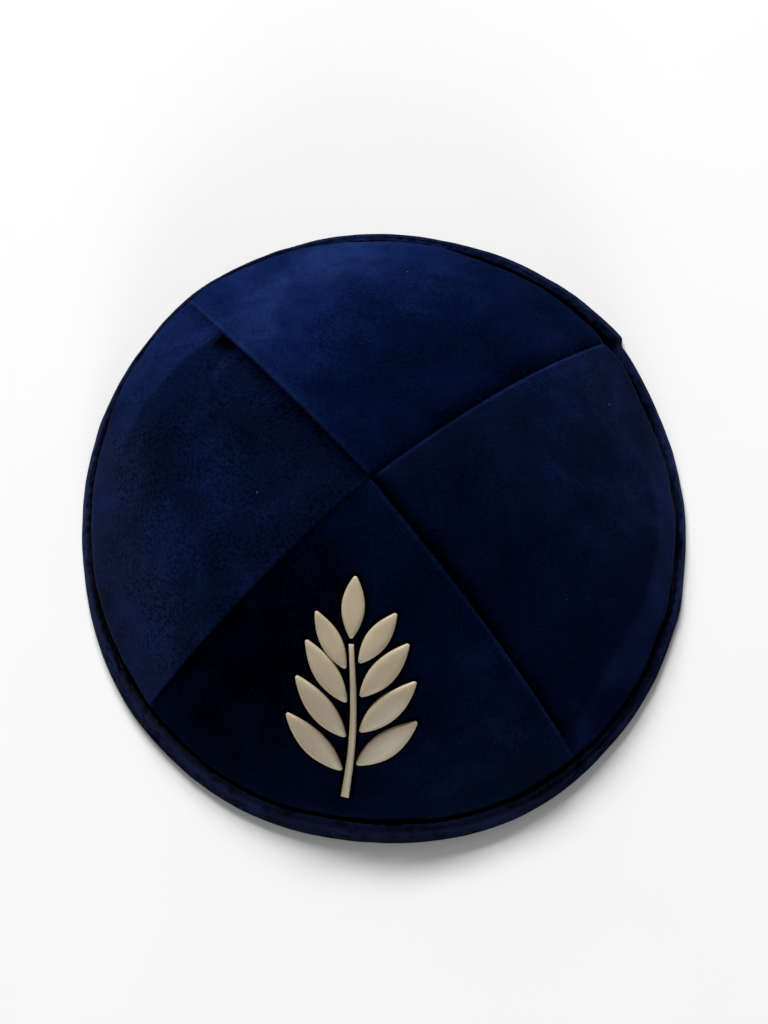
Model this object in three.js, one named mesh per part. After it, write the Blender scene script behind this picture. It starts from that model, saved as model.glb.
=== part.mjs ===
// A four-panel velvet skullcap (kippah) that rests on its rim.
// Millimetres, +Z up. The origin is the middle of the rim on the surface that the cap rests on.
// -Y is the front, where the raised leaf sprig is. Angles run anticlockwise from +X, seen from above.
import * as THREE from "three";

// Driving dimensions
const WALL_HALF_WIDTH = 82.6; // crown cloth at the rim, left to right
const WALL_HALF_LENGTH = 85.6; // crown cloth at the rim, front to back
const CROWN_RISE = 43; // from the lower edge of the crown cloth to the crown
const RIM_LIFT = 2.2; // lower edge of the crown cloth above the floor
const CROWN_LEAN = { x: -3.2, y: 0 }; // the soft crown sits a little to one side
const CLOTH = 2; // velvet with its backing
const GAP = 0.3; // between neighbouring pieces

const BINDING_INSIDE = 4; // inner edge of the binding above the rim line, inside the cap
const BINDING_CLOTH = 1.3;
const BINDING_BULGE = 0.5; // the folded strip swells between its edges
const BINDING_ROUND = 0.7; // rounding of its edges
const TUCK = 1; // the crown cloth stops this far above the rim line, inside the fold

const SPRIG_FOOT = 87; // from the crown down the front panel to the foot of the stem
const SPRIG_SIDE = -1.2; // of the stem's foot from the middle of the panel
const SPRIG_EDGE = 0.55; // height of the ornament's edge
const SPRIG_DOME = 0.75; // and how much higher its middle is

// How far the wall turns on its way from the crown to the rim. A small turn gives a low, flared wall.
const WALL_TURNS = [
  { side: "right", angle: 0, turn: 69 },
  { side: "back", angle: 90, turn: 52 },
  { side: "left", angle: 180, turn: 67 },
  { side: "front", angle: 270, turn: 46 },
];

// The soft rim isn't a true oval: it swells towards most seams and draws in between them.
const RIM_SWELLS = [
  { angle: 0, swell: -0.8 },
  { angle: 26, swell: -1.5 },
  { angle: 45, swell: -0.7 },
  { angle: 86, swell: -1.6 },
  { angle: 112, swell: -0.7 },
  { angle: 137, swell: 1.2 },
  { angle: 192, swell: -1.1 },
  { angle: 226, swell: 0 },
  { angle: 262, swell: -0.3 },
  { angle: 308, swell: 1.1 },
];

// The four seams. The seam allowance lifts the panel on the clockwise side and the other side sinks.
const SEAMS = [
  { angle: 44, bow: -0.5, lift: 0.7, sink: 0.6 },
  { angle: 138, bow: 0.8, lift: 0.6, sink: 0.9 },
  { angle: 225, bow: 0.8, lift: 0.6, sink: 0.5 },
  { angle: 315, bow: 0.4, lift: 0.7, sink: 0.7 },
];
const SEAM_REACH = 5; // width of cloth on each side that a seam lifts or sinks
const SEAM_STARTS = 0.12; // share of the wall below the crown where a seam reaches its full height
const SEAM_FADES = { from: 0.82, to: 0.94 }; // shares where it flattens out towards the binding

const PANELS = [
  { name: "panel_right", from: 3, to: 0 },
  { name: "panel_back", from: 0, to: 1 },
  { name: "panel_left", from: 1, to: 2 },
  { name: "panel_front", from: 2, to: 3 },
];

// Upper edge of the binding above the rim line, on the outside. The strip shows most at the front.
const BINDING_TOPS = [
  { angle: 0, top: 3.2 },
  { angle: 45, top: 4.2 },
  { angle: 90, top: 3.2 },
  { angle: 145, top: 2.8 },
  { angle: 180, top: 3.8 },
  { angle: 220, top: 5 },
  { angle: 280, top: 5 },
  { angle: 330, top: 3.8 },
];

// The strip's finished end laps over its start and stands proud there.
const LAP = [
  { angle: 42.3, proud: 0 },
  { angle: 43.7, proud: 1.5 },
  { angle: 51.5, proud: 0.9 },
  { angle: 66, proud: 0.4 },
  { angle: 82, proud: 0 },
];
const LAP_RISE = 0.4; // how much of its height the lap adds to the binding's width

// Leaves of the sprig: place up the stem, side, length, width and angle away from the stem
const LEAVES = [
  { up: 8, side: -1, length: 20, width: 7.4, lean: 50 },
  { up: 10, side: 1, length: 20, width: 7.4, lean: 50 },
  { up: 18, side: -1, length: 19.5, width: 7.2, lean: 45 },
  { up: 20, side: 1, length: 19.5, width: 7.2, lean: 45 },
  { up: 28, side: -1, length: 18, width: 6.8, lean: 40 },
  { up: 30, side: 1, length: 18, width: 6.8, lean: 40 },
  { up: 37, side: -1, length: 15.5, width: 6, lean: 34 },
  { up: 39, side: 1, length: 15.5, width: 6, lean: 34 },
  { up: 45, side: 0, length: 16, width: 6.2, lean: 0 },
];
const LEAF_TIP = 0.6; // width of a leaf's blunt ends
const LEAF_FULLNESS = 0.85; // power of the leaf's outline: less than 1 makes it rounder
const LEAF_STAND_OFF = 1.9; // from the stem's middle line to the near tip of a leaf
const STEM = { length: 43.5, width: 2.2, topWidth: 1.4, sway: 1.6 };

// Mesh densities
const PANEL_ROWS = 17;
const PANEL_COLUMNS = 16;
const BINDING_STEPS = 90;
const LEAF_ROWS = 9;
const LEAF_COLUMNS = 4;
const STEM_ROWS = 12;

const TIP_SHARE = 0.008; // the panels stop this share short of the crown, clear of each other
const SMALL = 1e-3; // step for slopes, as a share of the wall

const velvet = { color: 0x0b1433, roughness: 0.9, metalness: 0 };
const cream = { color: 0xcdbfa4, roughness: 0.45, metalness: 0 };

const radians = THREE.MathUtils.degToRad;
const { clamp, lerp, smoothstep } = THREE.MathUtils;

// Value of a table's column at an angle, eased between its rows.
function tableAt(rows, column, degrees) {
  const last = rows.length - 1;
  const next = rows.findIndex((row) => row.angle > degrees);
  const a = rows[next <= 0 ? last : next - 1];
  const b = rows[next < 0 ? 0 : next];
  const span = (b.angle - a.angle + 360) % 360 || 360;
  const along = ((degrees - a.angle + 360) % 360) / span;
  return lerp(a[column], b[column], smoothstep(along, 0, 1));
}

const wrap = (degrees) => ((degrees % 360) + 360) % 360;

// The plain dome: share runs from 0 at the crown to 1 at the rim line.
function dome(degrees, share) {
  const angle = radians(degrees);
  const turn = radians(tableAt(WALL_TURNS, "turn", wrap(degrees)));
  const out = Math.sin(turn * share) / Math.sin(turn);
  const up = (Math.cos(turn * share) - Math.cos(turn)) / (1 - Math.cos(turn));
  const swell = tableAt(RIM_SWELLS, "swell", wrap(degrees));
  return new THREE.Vector3(
    (WALL_HALF_WIDTH + swell) * out * Math.cos(angle) + CROWN_LEAN.x * up,
    (WALL_HALF_LENGTH + swell) * out * Math.sin(angle) + CROWN_LEAN.y * up,
    RIM_LIFT + CROWN_RISE * up,
  );
}

// Outward normal of the dome within its meridian, so that a wall's edges stay at their seam.
function outward(degrees, share) {
  const radial = new THREE.Vector3(Math.cos(radians(degrees)), Math.sin(radians(degrees)), 0);
  const step = dome(degrees, share + SMALL).sub(dome(degrees, share - SMALL));
  return radial.clone().multiplyScalar(-step.z).setZ(step.dot(radial)).normalize();
}

const reachFromAxis = (degrees, share) => {
  const point = dome(degrees, share);
  const crown = dome(degrees, 0);
  return Math.hypot(point.x - crown.x, point.y - crown.y);
};

// The angle that a distance around the wall spans at a place on it.
const degreesAcross = (distance, degrees, share) =>
  THREE.MathUtils.radToDeg(Math.asin(distance / reachFromAxis(degrees, share)));

// A seam's angle at a share of the wall: it bows a little sideways between crown and rim.
function seamAngle(seam, share) {
  const bow = seam.bow * Math.sin(Math.PI * clamp(share, 0, 1));
  return seam.angle + degreesAcross(bow, seam.angle, share);
}

// How far the seams lift or sink the cloth at a place on the wall.
function relief(degrees, share) {
  let height = 0;
  for (const seam of SEAMS) {
    const away = wrap(degrees - seamAngle(seam, share) + 180) - 180;
    if (Math.abs(away) > 90) continue;
    const sideways = radians(away) * reachFromAxis(degrees, share);
    const fade = Math.exp(-((sideways / SEAM_REACH) ** 2)) * smoothstep(share, 0, SEAM_STARTS);
    height += sideways < 0 ? seam.lift * fade : -seam.sink * fade;
  }
  return height * (1 - smoothstep(share, SEAM_FADES.from, SEAM_FADES.to));
}

// A point of the wall, at a height above its outer face (below it where negative).
function onWall(degrees, share, height) {
  const lift = relief(degrees, share) + height;
  return dome(degrees, share).addScaledVector(outward(degrees, share), lift);
}

// Share of the wall at a distance up from the rim line.
function shareAbove(degrees, distance) {
  const speed = dome(degrees, 1).distanceTo(dome(degrees, 1 - SMALL)) / SMALL;
  return 1 - distance / speed;
}

// A closed solid between an upper and a lower grid of points, both with the same rows and columns.
function slab(rows, columns, upper, lower) {
  const points = [];
  const faces = [];
  const width = columns + 1;
  const layer = (rows + 1) * width;
  for (const face of [upper, lower])
    for (let i = 0; i <= rows; i++)
      for (let j = 0; j <= columns; j++) points.push(...face(i / rows, j / columns).toArray());
  const quad = (a, b, c, d) => faces.push(a, b, c, a, c, d);
  const at = (i, j) => i * width + j;
  for (let i = 0; i < rows; i++)
    for (let j = 0; j < columns; j++) {
      quad(at(i, j), at(i + 1, j), at(i + 1, j + 1), at(i, j + 1));
      quad(layer + at(i, j), layer + at(i, j + 1), layer + at(i + 1, j + 1), layer + at(i + 1, j));
    }
  const border = [];
  for (let i = 0; i < rows; i++) border.push(at(i, 0));
  for (let j = 0; j < columns; j++) border.push(at(rows, j));
  for (let i = rows; i > 0; i--) border.push(at(i, columns));
  for (let j = columns; j > 0; j--) border.push(at(0, j));
  border.forEach((a, k) => {
    const b = border[(k + 1) % border.length];
    quad(b, a, layer + a, layer + b);
  });
  return solid(points, faces);
}

// A closed solid from a ring of closed sections, each with the same number of points.
function sweptRing(sections) {
  const count = sections[0].length;
  const faces = [];
  sections.forEach((_, i) => {
    const next = (i + 1) % sections.length;
    for (let j = 0; j < count; j++) {
      const k = (j + 1) % count;
      const [a, b] = [i * count + j, i * count + k];
      const [c, d] = [next * count + k, next * count + j];
      faces.push(a, b, c, a, c, d);
    }
  });
  return solid(sections.flat().flatMap((point) => point.toArray()), faces);
}

function solid(points, faces) {
  const geometry = new THREE.BufferGeometry();
  geometry.setAttribute("position", new THREE.Float32BufferAttribute(points, 3));
  geometry.setIndex(faces);
  geometry.computeVertexNormals();
  return geometry;
}

function named(name, geometry, finish) {
  const mesh = new THREE.Mesh(geometry, new THREE.MeshStandardMaterial(finish));
  mesh.name = name;
  return mesh;
}

// One gore of the crown: a wall of cloth between two seams, from the crown into the binding's fold.
function panel({ name, from, to }) {
  const [start, end] = [SEAMS[from], SEAMS[to]];
  const turnOn = end.angle < start.angle ? 360 : 0;
  const wall = (height) => (down, across) => {
    const crowded = (1 - Math.cos(Math.PI * across)) / 2; // closer columns beside the seams
    const nominal = lerp(start.angle, end.angle + turnOn, crowded);
    const share = lerp(TIP_SHARE, shareAbove(nominal, TUCK), down);
    const clear = degreesAcross(GAP / 2, nominal, share);
    const first = seamAngle(start, share) + clear;
    const last = seamAngle(end, share) + turnOn - clear;
    return onWall(lerp(first, last, crowded), share, height);
  };
  return named(name, slab(PANEL_ROWS, PANEL_COLUMNS, wall(0), wall(-CLOTH)), velvet);
}

// The binding's section at an angle: up is along the wall from the rim line, out is from its outer face.
function bindingSection(degrees) {
  const proud = degrees > LAP[0].angle && degrees < LAP.at(-1).angle ? tableAt(LAP, "proud", degrees) : 0;
  const normal = outward(degrees, 1);
  const rise = Math.hypot(normal.x, normal.y);
  const atFloor = (out) => -(RIM_LIFT + out * normal.z) / rise;
  const face = GAP + BINDING_CLOTH + proud;
  const back = -CLOTH - GAP - BINDING_CLOTH;
  const top = tableAt(BINDING_TOPS, "top", degrees) + proud * LAP_RISE;
  const round = BINDING_ROUND;
  const rows = [
    { up: top, out: GAP },
    { up: top + round / 4, out: (GAP + face) / 2 },
    { up: top - round, out: face },
    { up: top / 2, out: face + BINDING_BULGE },
    { up: atFloor(face) + 3 * round, out: face + BINDING_BULGE / 2 },
    { up: atFloor(face) + round, out: face },
    { up: atFloor(face - round) - round, out: face - round },
    { up: atFloor(-CLOTH / 2) - round, out: -CLOTH / 2 },
    { up: atFloor(back + round) - round, out: back + round },
    { up: atFloor(back) + round, out: back },
    { up: BINDING_INSIDE - 3 * round, out: back },
    { up: BINDING_INSIDE, out: back + round },
    { up: BINDING_INSIDE, out: -CLOTH - GAP },
    { up: TUCK - GAP, out: -CLOTH - GAP },
    { up: TUCK - GAP, out: GAP },
  ];
  return rows.map(({ up, out }) => {
    const point = onWall(degrees, shareAbove(degrees, up), out);
    return point.setZ(Math.max(point.z, 0)); // pressed flat where it rests
  });
}

function binding() {
  const plain = Array.from({ length: BINDING_STEPS }, (_, i) => (i * 360) / BINDING_STEPS);
  const clearOfLap = plain.filter((angle) => LAP.every((row) => Math.abs(row.angle - angle) > 1));
  const angles = [...clearOfLap, ...LAP.map((row) => row.angle)].sort((a, b) => a - b);
  return named("rim_binding", sweptRing(angles.map(bindingSection)), velvet);
}

// Share of the wall at a distance down from the crown, along the middle of the front panel.
const FRONT = 270;
function shareBelowCrown(distance) {
  let [share, travelled, step] = [0, 0, 1];
  while (travelled < distance) {
    step = dome(FRONT, share + SMALL).distanceTo(dome(FRONT, share));
    travelled += step;
    share += SMALL;
  }
  return share - (SMALL * (travelled - distance)) / step;
}

// A point of the sprig's flat drawing, laid on the front panel at a height above the cloth.
function onFront(x, y, height) {
  const share = shareBelowCrown(SPRIG_FOOT - y);
  return onWall(FRONT + degreesAcross(SPRIG_SIDE + x, FRONT, share), share, GAP + height);
}

// A raised pad along a drawn middle line, domed across, with a half width for each place along it.
function pad(rows, middle, halfWidth) {
  const face = (height) => (along, across) => {
    const [here, ahead, behind] = [middle(along), middle(along + SMALL), middle(along - SMALL)];
    const direction = ahead.sub(behind).normalize();
    const sideways = (2 * across - 1) * halfWidth(along);
    const [x, y] = [here.x - direction.y * sideways, here.y + direction.x * sideways];
    return onFront(x, y, height(along, across));
  };
  const dome = (along, across) =>
    SPRIG_EDGE + SPRIG_DOME * Math.sqrt(Math.sin(Math.PI * across) * Math.sin(Math.PI * clamp(along, 0, 1)));
  return slab(rows, LEAF_COLUMNS, face(dome), face(() => 0));
}

const stemAt = (y) => STEM.sway * Math.sin((Math.PI * y) / STEM.length);

function leaf({ up, side, length, width, lean }) {
  const angle = radians(90 - side * lean);
  const direction = new THREE.Vector2(Math.cos(angle), Math.sin(angle));
  const foot = new THREE.Vector2(stemAt(up) + side * LEAF_STAND_OFF, up);
  const middle = (along) => foot.clone().addScaledVector(direction, along * length);
  const outline = (along) => Math.sin(Math.PI * clamp(along, 0, 1)) ** LEAF_FULLNESS;
  const halfWidth = (along) => lerp(LEAF_TIP, width, outline(along)) / 2;
  return pad(LEAF_ROWS, middle, halfWidth);
}

function stem() {
  const middle = (along) => new THREE.Vector2(stemAt(along * STEM.length), along * STEM.length);
  const halfWidth = (along) => lerp(STEM.width, STEM.topWidth, along) / 2;
  return pad(STEM_ROWS, middle, halfWidth);
}

const crown = new THREE.Group();
crown.add(...PANELS.map(panel));

const sprig = new THREE.Group();
sprig.add(named("ornament_stem", stem(), cream));
LEAVES.forEach((row, i) => sprig.add(named(`ornament_leaf_${i + 1}`, leaf(row), cream)));

const cap = new THREE.Group();
cap.add(crown, binding(), sprig);

// The origin goes to the middle of the rim's footprint.
const footprint = new THREE.Box3().setFromObject(cap).getCenter(new THREE.Vector3());
cap.position.set(-footprint.x, -footprint.y, 0);

const part = new THREE.Group();
part.add(cap);
export default part;
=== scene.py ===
# %% [markdown]
# # A velvet skullcap, piece by piece
#
# The cap is four gores of short-pile velvet sewn into a low dome, a velvet strip folded round
# the rim, and a raised sprig of leaves on the front gore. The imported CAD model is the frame:
# it says where each piece is and how large. This lesson dresses that frame with cloth that has
# seams, a nap, a rolled edge and thread, and prints what each step made.

# %% Load the frame
import math

import bpy
import numpy as np
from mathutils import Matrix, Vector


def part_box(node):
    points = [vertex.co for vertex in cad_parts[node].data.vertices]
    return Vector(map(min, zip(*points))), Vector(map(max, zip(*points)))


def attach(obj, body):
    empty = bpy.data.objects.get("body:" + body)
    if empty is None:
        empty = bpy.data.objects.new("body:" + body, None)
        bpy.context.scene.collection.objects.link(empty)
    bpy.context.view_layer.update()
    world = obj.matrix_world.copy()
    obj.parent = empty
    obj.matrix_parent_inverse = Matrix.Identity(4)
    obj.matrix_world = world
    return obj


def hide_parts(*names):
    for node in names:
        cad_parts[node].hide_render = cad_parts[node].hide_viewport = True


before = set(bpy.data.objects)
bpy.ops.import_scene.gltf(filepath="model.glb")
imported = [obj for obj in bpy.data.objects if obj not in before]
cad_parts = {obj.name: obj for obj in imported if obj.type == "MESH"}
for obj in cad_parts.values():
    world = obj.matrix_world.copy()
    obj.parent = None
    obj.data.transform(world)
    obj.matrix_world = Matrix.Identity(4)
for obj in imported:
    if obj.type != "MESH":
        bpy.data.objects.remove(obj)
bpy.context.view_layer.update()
MM = 0.001

# %% [markdown]
# ## The rule of the dome
#
# All pieces lie on one soft dome, so its rule comes first. A place on it is an angle round the
# cap, anticlockwise from +X, and a share of the way from the crown (0) down to the rim line (1).
# One could copy the frame's facets instead, but a rule can be asked for a point anywhere, and a
# fine mesh then has no corners to hide. The sizes are those of the CAD model, in millimetres, but
# the rim's swells follow the soft rim a little more closely than the solids do. The crown's place
# is read from the frame: the four gores meet there.

# %% The dome
WALL_HALF_WIDTH = 82.6
WALL_HALF_LENGTH = 85.6
CROWN_RISE = 43.0
RIM_LIFT = 2.2
CROWN_LEAN = -3.2  # the crown sits this far to the right of the rim's middle
CLOTH = 2.0
SLOPE_STEP = 1e-3  # share of the wall over which slopes are measured

# angle, and how far the wall turns between crown and rim
WALL_TURNS = ((0, 69), (90, 52), (180, 67), (270, 46))
# angle, and how far the soft rim swells out there
RIM_SWELLS = (
    (0, -0.45), (26, -1.4), (45, -0.5), (86, -1.6), (112, -0.7), (137, 0.9), (155, 0.2),
    (192, -1.1), (226, 0.2), (249, 0.4), (268, 0.0), (306, 2.0), (322, 1.4), (347, 0.6),
)

crown_x = (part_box("panel_left")[1].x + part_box("panel_right")[0].x) / 2 / MM
crown_y = (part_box("panel_front")[1].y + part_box("panel_back")[0].y) / 2 / MM


def ease(value, low=0.0, high=1.0):
    """0 below low, 1 above high, and a smooth step between them."""
    along = np.clip((value - low) / (high - low), 0.0, 1.0)
    return along * along * (3.0 - 2.0 * along)


def table_at(rows, degrees):
    """Value of a table of (angle, value) rows, eased between its rows and closed into a ring."""
    angles = np.array([row[0] for row in rows] + [rows[0][0] + 360.0])
    values = np.array([row[1] for row in rows] + [rows[0][1]], float)
    turned = (degrees - angles[0]) % 360.0 + angles[0]
    row = np.clip(np.searchsorted(angles, turned, side="right") - 1, 0, len(rows) - 1)
    along = (turned - angles[row]) / (angles[row + 1] - angles[row])
    return values[row] + (values[row + 1] - values[row]) * ease(along)


def dome(degrees, share):
    """Points of the plain dome, in millimetres."""
    angle = np.radians(degrees)
    turn = np.radians(table_at(WALL_TURNS, degrees))
    swell = table_at(RIM_SWELLS, degrees)
    out = np.sin(turn * share) / np.sin(turn)
    up = (np.cos(turn * share) - np.cos(turn)) / (1.0 - np.cos(turn))
    x = crown_x + (WALL_HALF_WIDTH + swell) * out * np.cos(angle) + CROWN_LEAN * (up - 1.0)
    y = crown_y + (WALL_HALF_LENGTH + swell) * out * np.sin(angle)
    return np.stack([x, y, RIM_LIFT + CROWN_RISE * up], axis=-1)


def outward(degrees, share):
    """The wall's outward normal within its own meridian."""
    angle = np.radians(degrees)
    radial = np.stack([np.cos(angle), np.sin(angle), np.zeros_like(angle)], axis=-1)
    step = dome(degrees, share + SLOPE_STEP) - dome(degrees, share - SLOPE_STEP)
    normal = radial * -step[..., 2:]
    normal[..., 2] = np.sum(step * radial, axis=-1)
    return normal / np.linalg.norm(normal, axis=-1, keepdims=True)


def on_wall(degrees, share, height):
    """Points at a height over the plain dome."""
    return dome(degrees, share) + outward(degrees, share) * np.asarray(height)[..., None]


def reach(degrees, share):
    """Distance from the crown's axis, seen from above."""
    from_axis = dome(degrees, share) - dome(degrees, 0.0 * share)
    return np.hypot(from_axis[..., 0], from_axis[..., 1])


def wall_speed(degrees):
    """Millimetres along the wall for each share of it, at the rim."""
    edge = np.ones_like(degrees)
    step = dome(degrees, edge) - dome(degrees, edge - SLOPE_STEP)
    return np.linalg.norm(step, axis=-1) / SLOPE_STEP


print(f"crown at x {crown_x:.2f}, y {crown_y:.2f} mm")

# %% [markdown]
# ## Wires for node trees
#
# Finishes and repeated pieces are node trees. A tree can be clicked together by hand, or written
# as one long list of nodes and links, which is hard to read. Here a wire stands for a socket and
# can be used in sums, and a board adds any node with one method: its type, its settings, and the
# values or wires of its sockets. Both kinds of tree, shader and geometry, share them.

# %% Wires
class Wire:
    """One output socket. A sum of wires adds Math nodes to the board."""

    def __init__(self, board, socket):
        self.board = board
        self.socket = socket

    def sum(self, operation, first, second):
        """A Math node on two wires or numbers."""
        return self.board.node("ShaderNodeMath", {"operation": operation}, {0: first, 1: second})

    def __add__(self, other):
        return self.sum("ADD", self, other)

    def __sub__(self, other):
        return self.sum("SUBTRACT", self, other)

    def __rsub__(self, other):
        return self.sum("SUBTRACT", other, self)

    def __mul__(self, other):
        return self.sum("MULTIPLY", self, other)

    def __truediv__(self, other):
        return self.sum("DIVIDE", self, other)

    def __mod__(self, other):
        return self.sum("FLOORED_MODULO", self, other)

    __radd__ = __add__
    __rmul__ = __mul__


print("wires can be added, subtracted, multiplied, divided and wrapped round")

# %% Boards
class Board:
    """A node tree, and the one method that adds a node to it."""

    def __init__(self, tree):
        self.tree = tree

    def node(self, kind, settings=None, sockets=None, out=0):
        """Adds a node: its type, its settings, the values or wires of its sockets, and which output
        comes back as a wire."""
        made = self.tree.nodes.new(kind)
        for name, value in (settings or {}).items():
            if name == "stops":
                set_stops(made.color_ramp, value)
            else:
                setattr(made, name, value)
        for name, value in (sockets or {}).items():
            if isinstance(value, Wire):
                self.tree.links.new(value.socket, made.inputs[name])
            else:
                made.inputs[name].default_value = value
        return Wire(self, made.outputs[out]) if made.outputs else None


def set_stops(ramp, stops):
    """Gives a colour ramp its (place, colour) stops."""
    while len(ramp.elements) < len(stops):
        ramp.elements.new(1.0)
    for element, (place, colour) in zip(ramp.elements, stops):
        element.position = place
        element.color = (*colour, 1.0)


def new_finish(name):
    """An empty material and its board."""
    material = bpy.data.materials.new(name)
    material.use_nodes = True
    material.node_tree.nodes.clear()
    return material, Board(material.node_tree)


print("boards are ready for", bpy.app.version_string)

# %% Helpers for finishes
NOISE_ROUGHNESS = 0.55


def noise(board, place, size, detail=2.0, swirl=0.0):
    """A noise whose features are about size millimetres across."""
    return board.node("ShaderNodeTexNoise", {"noise_dimensions": "3D"}, {
        "Vector": place, "Scale": 1.0 / (size * MM), "Detail": detail,
        "Roughness": NOISE_ROUGHNESS, "Distortion": swirl,
    }, "Fac")


def object_place(board):
    """Where a point is on the piece."""
    return board.node("ShaderNodeTexCoord", None, None, "Object")


def flat_place(board):
    """Where a point is on the flat cloth."""
    return board.node("ShaderNodeUVMap", {"uv_map": "cloth"})


def ramp(board, stops, wire):
    """A colour from a number, by a ramp."""
    return board.node("ShaderNodeValToRGB", {"stops": stops}, {"Fac": wire})


def bumps(board, strength, depth, height):
    """The normal of a surface with fine relief, at most depth millimetres high."""
    return board.node("ShaderNodeBump", None, {
        "Strength": strength, "Distance": depth * MM, "Height": height,
    })


def finish_surface(board, **look):
    """Ends a finish in one Principled surface. Underscores stand for the spaces in socket names."""
    sockets = {name.replace("_", " "): value for name, value in look.items()}
    surface = board.node("ShaderNodeBsdfPrincipled", None, sockets)
    board.node("ShaderNodeOutputMaterial", None, {"Surface": surface})


print("finishes so far:", len(bpy.data.materials))

# %% [markdown]
# ## The velvet
#
# Velvet is a forest of short upright threads. Brushed one way it looks nearly black, brushed the
# other way it shows its colour, so each gore has its own tone and soft marks where a hand has
# stroked it. A photograph could be projected on the cloth, but it would be wrong from any other
# side. Here the tone is a number on each vertex, and the finish turns it into navy. That number
# holds the brushing and painted light as well: how light each gore and patch looks under these
# lamps, a painted highlight on the seams' crests and painted shade in their folds and grooves.
# Noise adds soft patches, small nicks where the pile parts, and the fine pile itself. Two more
# numbers on the vertices say how strongly the pile parts, called grain, and how grey the pile is,
# for dust and, towards the rim, for a painted sheen where the wall turns away. A few specks of lint
# lie on top, and the shader's sheen adds a bloom where the wall turns away.

# %% Colours, dust and painted sheen
# place on the ramp, and colour
VELVET_STOPS = (
    (0.0, (0.0001, 0.0003, 0.0018)),
    (0.25, (0.0004, 0.0022, 0.0110)),
    (0.5, (0.0010, 0.0038, 0.0212)),
    (0.75, (0.0033, 0.0097, 0.0529)),
    (1.0, (0.0097, 0.0232, 0.0976)),
)
# greys added to the pile: dust, and towards the rim a painted sheen where the wall turns away
GREY_DUST_AND_SHEEN = (0.0038, 0.0036, 0.0020, 1.0)
COOL_DUST_AND_SHEEN = (0.0016, 0.0036, 0.0014, 1.0)
# the strip's grey, for wear and for a painted sheen on its front
RIM_WEAR_AND_SHEEN = (0.0060, 0.0057, 0.0024, 1.0)
DUST_AND_SHEEN_WEIGHT = 2.9
NICK_CLEAN = 2.6  # so much less of the grey, dust and painted sheen alike, lies in a nick
LINT = (0.10, 0.10, 0.11, 1.0)
LINT_SPACING = 17.0
LINT_SIZE = 0.22


def number_on(board, name):
    """A number that the mesh carries on its vertices."""
    return board.node("ShaderNodeAttribute", {"attribute_name": name}, None, "Fac")


def mixed(board, factor, first, second, way="MIX"):
    """Two colours mixed, or the second one added."""
    return board.node("ShaderNodeMix", {"data_type": "RGBA", "blend_type": way}, {
        "Factor": factor, "A": first, "B": second,
    }, "Result")


def with_lint(board, place, colour):
    """A colour with a few pale specks."""
    specks = board.node("ShaderNodeTexVoronoi", None, {"Vector": place, "Scale": 1.0 / (LINT_SPACING * MM)})
    lint = board.node("ShaderNodeMath", {"operation": "LESS_THAN"}, {0: specks, 1: LINT_SIZE / LINT_SPACING})
    return mixed(board, lint, colour, LINT)


print("colours of the pile:", len(VELVET_STOPS))

# %% Patches, pile and nicks
# a noise is a size in millimetres, a detail and a swirl
PATCHES = (13.0, 5.0, 0.6)
# the nicks come in clusters, and between these only this share of them is left
CLUSTERS = (8.0, 3.0)
CLUSTER_EDGE = (0.34, 0.64)
NICKS_BETWEEN = 0.35
NICK_WIDTH = 0.8
NICK_LENGTH = 1.25
NICK_NOISE = (NICK_WIDTH, 1.0, 0.1)
NICK_EDGE = (0.45, 0.62)  # the pile parts where its noise passes from the first number to the second
NICK_MEAN = 0.3
NICK_TONE = 0.3
PILE = (0.6, 2.0)
PILE_WEIGHT = 1.3
PILE_HEIGHT = 0.5  # beside the depth of a nick
PILE_DEPTH = 0.3


def stepped(board, wire, low, high):
    """A smooth step from 0 to 1 where a wire passes from low to high."""
    return board.node("ShaderNodeMapRange", {"interpolation_type": "SMOOTHSTEP"}, {
        "Value": wire, "From Min": low, "From Max": high,
    })


def patches_and_pile(board, place):
    """The soft patches and the fine pile, each about as often lighter as darker."""
    return noise(board, place, *PATCHES) - 0.5, noise(board, place, *PILE) - 0.5


def parted_pile(board, place):
    """Nicks where the pile parts, drawn out along the cloth."""
    squeezed = board.node("ShaderNodeMapping", None, {
        "Vector": flat_place(board), "Scale": (1.0, NICK_WIDTH / NICK_LENGTH, 1.0),
    })
    clusters = stepped(board, noise(board, place, *CLUSTERS), *CLUSTER_EDGE)
    parted = stepped(board, noise(board, squeezed, *NICK_NOISE), *NICK_EDGE)
    return parted * (clusters * (1.0 - NICKS_BETWEEN) + NICKS_BETWEEN)


print("patches of", PATCHES[0], "mm, nicks", NICK_WIDTH, "by", NICK_LENGTH, "mm, pile of", PILE[0], "mm")

# %% Velvet finish
GORE_PATCHES = 0.6
RIM_PATCHES = 0.8
GORE_BUMP = 0.45
RIM_BUMP = 0.35
GORE_SHEEN = 0.04
RIM_SHEEN = 0.09
SHEEN_ROUGHNESS = 0.3
SHEEN_TINT = (0.6, 0.68, 1.0, 1.0)


def velvet(name, patch_amount, bump, sheen, dust):
    """A velvet: how strongly its patches, relief and sheen show, and the colour of its dust and painted
    sheen.
    """
    material, board = new_finish(name)
    place = object_place(board)
    patches, pile = patches_and_pile(board, place)
    nicks = parted_pile(board, place)
    grain = number_on(board, "grain")
    tone = number_on(board, "nap") + patches * patch_amount
    tone = tone + (NICK_MEAN - nicks + pile * PILE_WEIGHT) * grain * NICK_TONE
    greyed = number_on(board, "dust") * tone * (DUST_AND_SHEEN_WEIGHT - nicks * grain * NICK_CLEAN)
    colour = mixed(board, greyed, ramp(board, VELVET_STOPS, tone), dust, "ADD")
    height = (pile * PILE_HEIGHT - nicks) * grain
    finish_surface(
        board, Base_Color=with_lint(board, place, colour), Roughness=1.0, Specular_IOR_Level=0.0,
        Sheen_Weight=sheen, Sheen_Roughness=SHEEN_ROUGHNESS, Sheen_Tint=SHEEN_TINT,
        Normal=bumps(board, bump, PILE_DEPTH, height),
    )
    return material


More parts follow.
